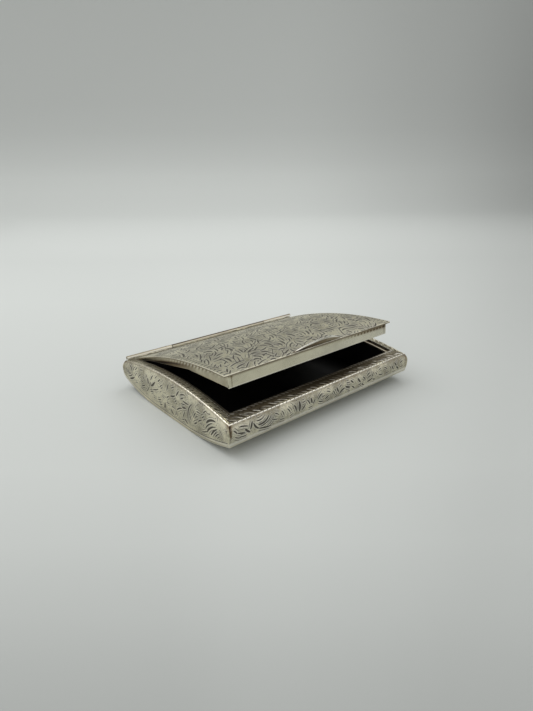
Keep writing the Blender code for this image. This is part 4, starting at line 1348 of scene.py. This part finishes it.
class CASE_OT_lid_flanges(bpy.types.Operator):
    """Build the polished front flange and the two side flanges under the lid sheet"""

    bl_idname = "case.lid_flanges"
    bl_label = "Lid flanges"

    def execute(self, context):
        sizes = context.scene.case_sizes
        front = sizes.half_width - sizes.border_front - sizes.lid_gap - 0.0008
        half = sizes.half_length - sizes.border_end - sizes.lid_gap - 0.00235
        self.front(sizes, front, half)
        for side, facing in (("left", -1), ("right", 1)):
            self.side(sizes, side, facing, front - FLANGE_LEAN, half)
        return {"FINISHED"}

    def front(self, sizes, front, half):
        """The front flange: flat and leaning, with painted shadow under the sheet and a row of dots to the
        right.
        """
        low = sizes.rim_height - FLANGE_DEEP
        tall = crown_height(sizes, front) - UNDER_LID - low
        along, rise, depth = sheet_grid(
            edged_axis(-half, half, 0.0006, FLANGE_SHEET, FLANGE_ROUND),
            edged_axis(0.0, tall, 0.0003, FLANGE_SHEET, LID_ROUND),
        )
        y = -(front - FLANGE_LEAN * (1 - rise / tall)) + depth
        points = opened(np.stack((along, y, low + rise), axis=-1))
        edge = tall - rise
        # Painted shadow under the sheet, and a dark line near each end
        under = 0.55 * bell(edge, 0, 0.0009) + 0.9 * bell(half - np.abs(along), 0.0016, 0.00025)
        right = 0.35 * climb(along, 0.020, 0.024) * bell(edge, 0.0014, 0.0012)
        dots = 0.8 * climb(along, 0.012, 0.020) * bell(edge, 0.0012, 0.0004) * np.sin(along / 0.00076) ** 4
        # Painted highlight along the foot, and a painted reflection that grows to the right
        foot = 0.8 * bell(rise, 0, 0.00035) * (depth < 0.0002)
        gleam = 0.24 * climb(along, -0.015, 0.04) * climb(edge, 0.0014, 0.0008)
        silver_object(
            "lid_front_flange", points, sheet_faces,
            plain_silver("lid_front_flange_silver", 0.35, 300.0, 0.16, (0.35, 1, 1)), "lid",
            ["lid_flange_front"], {"shade": under + right + dots, "bright": np.maximum(foot, gleam)},
        )

    def side(self, sizes, side, facing, front, half):
        """One side flange: level along the back, then its lower edge falls to the front corner.

        A rope is cut along its upper part, as a sine of the way along less 0.9 of the way down.
        """
        v = doubled_ends(0, 1, 26)
        drop_v = np.concatenate(([FLANGE_SHEET, 0.0001], np.zeros(24), [0.0001, FLANGE_SHEET]))
        y_axis = edged_axis(-front + FLANGE_SHEET * 0.2, FLANGE_BACK, 0.00025, FLANGE_SHEET, 0.0001)
        share, across, depth = sheet_grid((v, drop_v), y_axis)
        fall = climb(-across, front + 0.0006 - FLANGE_KNEE, FLANGE_KNEE)
        low = sizes.rim_height - FLANGE_LEVEL - (FLANGE_DEEP - FLANGE_LEVEL) * fall
        tall = crown_height(sizes, across) - UNDER_LID - low
        edge = tall * (1 - share)
        wave = np.sin(2 * math.pi * (across - 0.9 * edge) / ROPE_PITCH)
        place = np.exp(-(edge / 0.0023) ** 4) * bell(across, -0.012, 0.015)
        groove = np.clip(wave, 0, 1) * place
        x = facing * (half - depth - CUT_PRESS * groove)
        points = opened(np.stack((x, across, low + tall * share), axis=-1))
        # Painted shade: darker overall, more so towards the back below the top edge, with a band of painted
        # shadow under the sheet
        below = 0.46 * climb(across, -0.014, 0.030) * climb(edge, 0.0016, 0.001)
        under = 0.5 * bell(edge, 0.0026, 0.0005) * climb(across, -0.008, 0.012)
        # Painted highlight along the foot and on the rope's strands
        foot = 0.5 * bell(tall * share, 0, 0.0003) * (depth < 0.0002)
        strands = 0.75 * np.clip(-wave - 0.2, 0, 1) * place
        values = {"shade": 0.24 + below + 0.60 * groove + under, "bright": np.maximum(foot, strands)}
        finish = plain_silver(f"lid_{side}_flange_silver", 0.6, rough=0.28)
        silver_object(
            f"lid_{side}_flange", points, sheet_faces, finish, "lid",
            [f"lid_flange_{side}"], values,
        )


class CASE_OT_thumb_piece(bpy.types.Operator):
    """Build the crescent thumb piece on the lid's front edge"""

    bl_idname = "case.thumb_piece"
    bl_label = "Thumb piece"

    def execute(self, context):
        sizes = context.scene.case_sizes
        front = -(sizes.half_width - sizes.border_front - sizes.lid_gap)
        s = np.linspace(-1, 1, 161)[:, None]
        tall = THUMB_HEIGHT * (1 - s ** 2) ** 0.85 * (1 + THUMB_SKEW * s) + 0.00015
        around = np.linspace(0, 2 * math.pi, 48, endpoint=False)
        up = (1 - np.cos(around)) / 2
        thick = THUMB_FOOT - (THUMB_FOOT - THUMB_CREST) * up
        rise = tall * up
        x = np.broadcast_to(THUMB_ASIDE + THUMB_HALF * s, rise.shape)
        y = front + 0.00058 - THUMB_LEAN * rise ** 2 + np.sin(around) * thick
        z = crown_height(sizes, front) - FIT_GAP + rise
        # Painted highlight along the crest, stronger on its outer side, and painted shade on the face below it,
        # deepest to the left
        crest = climb(up, 0.60, 0.12) * (0.55 + 0.45 * (np.sin(around) < 0.3)) * climb(tall, 0.0004, 0.0005)
        fade = 0.5 - 0.5 * np.clip(s / 0.5, -1, 1)
        values = {"shade": (1 - crest) * (0.50 + 0.45 * fade - 0.12 * up), "bright": crest}
        silver_object(
            "thumb_crescent", opened(np.stack((x, y, z), axis=-1)), bar_faces,
            plain_silver("thumb_silver", 0.2, rough=0.18), "lid", ["thumb_piece"], values,
        )
        return {"FINISHED"}


class CASE_OT_lining(bpy.types.Operator):
    """Give the lining its black finish"""

    bl_idname = "case.lining"
    bl_label = "Lining"

    def execute(self, context):
        sizes = context.scene.case_sizes
        low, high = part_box("lining_floor")
        along, across, depth = sheet_grid(*(
            edged_axis(low[way], high[way], step, LINING_SHEET, 0.0002)
            for way, step in ((0, 0.003), (1, 0.0012))
        ))
        top = floor_height(sizes, across) + low[2] + LINING_SHEET - depth
        silver_object(
            "lining_floor_sheet", np.stack((along, across, top), axis=-1), sheet_faces,
            black_lining("lining_floor_black"), "root", ["lining_floor"], {},
        )
        for side in ("front", "back", "left", "right"):
            node = frame["nodes"]["lining_" + side]
            node.material_slots[0].material = black_lining(f"lining_{side}_black")
        return {"FINISHED"}


# Camera fitted to the case's rim, hinge and lid edges in the photograph
PHOTO_WIDTH, PHOTO_HEIGHT = 533, 711
CAMERA_PLACE = (-0.1456, -0.1721, 0.10348)
CAMERA_YAW = math.radians(40.251)
CAMERA_PITCH = math.radians(21.395)
CAMERA_ROLL = math.radians(0.6525)
CAMERA_FOCAL_PIXELS = 482.0
SENSOR = 36.0
# Each soft box: its name, place, size and share of the lamp power
LAMPS = (
    ("soft_box", (-0.33, 0.46, 0.80), (0.8, 0.6), 0.66),
    ("soft_box_right", (0.50, 0.16, 0.72), (0.7, 0.6), 0.34),
)
# The stretch along the paper that its painted light covers, and where its painted side shade fans out from
SWEEP_NEAR, SWEEP_FAR = -0.2, 3.0
SWEEP_FAN = -0.23
# The paper's painted light falling off along it, as (metres along its section, level) pairs
SWEEP_PAINTED_LIGHT = (
    (-0.16, 0.565), (-0.139, 0.67), (-0.112, 0.765), (-0.076, 0.82), (0.165, 0.865), (0.35, 0.84),
    (0.81, 0.955), (1.236, 0.975), (1.37, 0.955), (1.5, 0.885), (1.7, 0.795), (1.88, 0.76),
    (2.37, 0.735), (3.0, 0.72),
)


class CASE_OT_stage(bpy.types.Operator):
    """Set the floor with its backdrop, the soft light and the camera"""

    bl_idname = "case.stage"
    bl_label = "Stage"

    def execute(self, context):
        stage = context.scene.case_stage
        self.sweep(stage)
        self.light(context, stage)
        self.camera(context)
        return {"FINISHED"}

    def sweep(self, stage):
        """A paper floor that curves up into a backdrop, square to the camera's view.

        Its section runs level, turns up by a quarter circle and goes straight up. Each point keeps
        the way along that section, and the way sideways over its distance from where the shade fans out.
        """
        near, far, radius, tall, half = -1.5, 0.9, 1.4, 1.6, 4.0
        turn = np.linspace(0, math.pi / 2, 40)
        ahead = np.concatenate((np.linspace(near, far, 50), far + radius * np.sin(turn[1:]), [far + radius]))
        rise = np.concatenate((np.zeros(50), radius * (1 - np.cos(turn[1:])), [radius + tall]))
        along = np.concatenate(([0.0], np.cumsum(np.hypot(np.diff(ahead), np.diff(rise))))) + near
        outer = np.linspace(0.4, half, 20)
        side = np.concatenate((-outer[::-1], np.linspace(-0.39, 0.39, 79), outer))
        view = np.array((math.sin(CAMERA_YAW), math.cos(CAMERA_YAW)))
        right = np.array((math.cos(CAMERA_YAW), -math.sin(CAMERA_YAW)))
        flat = ahead[:, None, None] * view + side[None, :, None] * right
        points = np.concatenate((flat, np.broadcast_to(rise[:, None, None], flat.shape[:2] + (1,))), axis=-1)
        mesh = bpy.data.meshes.new("studio_sweep")
        faces = sheet_faces(*points.shape[:2])[0]
        mesh.from_pydata(points.reshape(-1, 3).tolist(), [], faces.tolist())
        mesh.shade_smooth()
        fan = side / np.maximum(along[:, None] - SWEEP_FAN, 0.05)
        for name, value in (("along", along[:, None]), ("aside", fan)):
            value = np.broadcast_to(value, fan.shape).astype(np.float32)
            mesh.attributes.new(name, "FLOAT", "POINT").data.foreach_set("value", value.ravel())
        mesh.materials.append(self.paper(stage))
        piece = bpy.data.objects.new("studio_sweep", mesh)
        bpy.context.scene.collection.objects.link(piece)

    def paper(self, stage):
        """The paper's finish: painted light that falls off along it, with painted shade and a painted glow to
        its sides.
        """
        finish = Finish("studio_paper")
        way, aside = finish.value_of("along"), finish.value_of("aside")
        leftwards = 0 - aside
        share = finish.node(
            "ShaderNodeMapRange", {}, {"Value": way, "From Min": SWEEP_NEAR, "From Max": SWEEP_FAR},
        )
        length = SWEEP_FAR - SWEEP_NEAR
        stops = [((place - SWEEP_NEAR) / length, (painted_light,) * 3) for place, painted_light in SWEEP_PAINTED_LIGHT]
        painted_light = finish.node("ShaderNodeValToRGB", {"stops": stops}, {"Fac": share})
        # Painted shade towards the sides, stronger further back, and a painted glow on the left of the backdrop
        strong = 0.14 + 0.24 * finish.between(way, -0.17, -0.08) + 0.36 * finish.between(way, -0.1, 0.2)
        strong = strong + 0.50 * finish.between(way, 0.3, 1.3)
        right = 0.17 * finish.between(aside, 0.02, 0.40) + 0.20 * finish.between(aside, 0.30, 0.60)
        middle_left = finish.between(leftwards, 0.05, 0.35)
        left = 0.09 * finish.between(leftwards, 0.33, 0.60) - 0.05 * middle_left
        level = 1 - strong * right - left * finish.between(way, 0.3, 0.8)
        level = level - 0.04 * middle_left * finish.between(0 - way, -0.6, -0.1)
        glow = finish.between(leftwards, 0.05, 0.30) * finish.between(way, 0.8, 1.15)
        level = level + 0.08 * glow * (1 - finish.between(way, 1.7, 2.4))
        colour = finish.mix_colour(level, (0.0, 0.0, 0.0), tuple(stage.floor))
        colour = finish.mix_colour(1.0, colour, painted_light, "MULTIPLY")
        return finish.feed(Base_Color=colour, Roughness=0.8, Specular_IOR_Level=0.2)

    def light(self, context, stage):
        """Soft light from all round, and two soft boxes above and behind."""
        world = context.scene.world or bpy.data.worlds.new("soft_light")
        context.scene.world = world
        world.use_nodes = True
        back = world.node_tree.nodes["Background"]
        back.inputs["Color"].default_value = (*stage.sky, 1.0)
        back.inputs["Strength"].default_value = stage.sky_strength
        for name, place, size, share in LAMPS:
            data = bpy.data.lights.new(name, "AREA")
            data.shape = "RECTANGLE"
            data.size, data.size_y = size
            data.energy = stage.lamp_power * share
            lamp = bpy.data.objects.new(name, data)
            lamp.location = place
            lamp.rotation_euler = (-Vector(place)).to_track_quat("-Z", "Y").to_euler()
            context.scene.collection.objects.link(lamp)

    def camera(self, context):
        """The photograph's camera: place, turn and focal length, worked out from the fitted values."""
        yaw, pitch, roll = CAMERA_YAW, CAMERA_PITCH, CAMERA_ROLL
        ahead = Vector((math.sin(yaw) * math.cos(pitch), math.cos(yaw) * math.cos(pitch), -math.sin(pitch)))
        right = Vector((math.cos(yaw), -math.sin(yaw), 0))
        down = ahead.cross(right)
        turned_right = math.cos(roll) * right + math.sin(roll) * down
        turned_down = -math.sin(roll) * right + math.cos(roll) * down
        data = bpy.data.cameras.new("photo_camera")
        data.sensor_fit = "VERTICAL"
        data.sensor_height = SENSOR
        data.sensor_width = SENSOR * PHOTO_WIDTH / PHOTO_HEIGHT
        data.lens = CAMERA_FOCAL_PIXELS * SENSOR / PHOTO_HEIGHT
        data.clip_start = 0.005
        camera = bpy.data.objects.new("photo_camera", data)
        axes = Matrix((turned_right, -turned_down, -ahead)).transposed().to_4x4()
        camera.matrix_world = Matrix.Translation(CAMERA_PLACE) @ axes
        context.scene.collection.objects.link(camera)
        context.scene.camera = camera
        context.scene.view_settings.view_transform = "Standard"


class CASE_PT_panel(bpy.types.Panel):
    """Lists the case's pieces and settings in the sidebar"""

    bl_idname = "CASE_PT_panel"
    bl_label = "Cigarette case"
    bl_space_type = "VIEW_3D"
    bl_region_type = "UI"
    bl_category = "Cigarette case"

    def draw(self, context):
        column = self.layout.column(align=True)
        for operator in OPERATORS:
            column.operator(operator.bl_idname)
        for group in (context.scene.case_sizes, context.scene.case_silver, context.scene.case_stage):
            box = self.layout.box().column(align=True)
            for key in group.__annotations__:
                box.prop(group, key)


OPERATORS = (
    CASE_OT_stage, CASE_OT_walls, CASE_OT_floor_sheet, CASE_OT_border, CASE_OT_hinge, CASE_OT_lid_plate,
    CASE_OT_lid_flanges, CASE_OT_thumb_piece, CASE_OT_lining,
)
CLASSES = (CaseSizes, SilverColours, StageSettings) + OPERATORS + (CASE_PT_panel,)


def register():
    """Registers the classes and hangs the settings on the scene."""
    for item in CLASSES:
        bpy.utils.register_class(item)
    bpy.types.Scene.case_sizes = PointerProperty(type=CaseSizes)
    bpy.types.Scene.case_silver = PointerProperty(type=SilverColours)
    bpy.types.Scene.case_stage = PointerProperty(type=StageSettings)


def unregister():
    """Takes the settings and classes away again."""
    del bpy.types.Scene.case_stage
    del bpy.types.Scene.case_silver
    del bpy.types.Scene.case_sizes
    for item in reversed(CLASSES):
        bpy.utils.unregister_class(item)


def main():
    """Registers the add-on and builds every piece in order."""
    register()
    for operator in OPERATORS:
        group, name = operator.bl_idname.split(".")
        getattr(getattr(bpy.ops, group), name)()


if __name__ == "__main__":
    main()
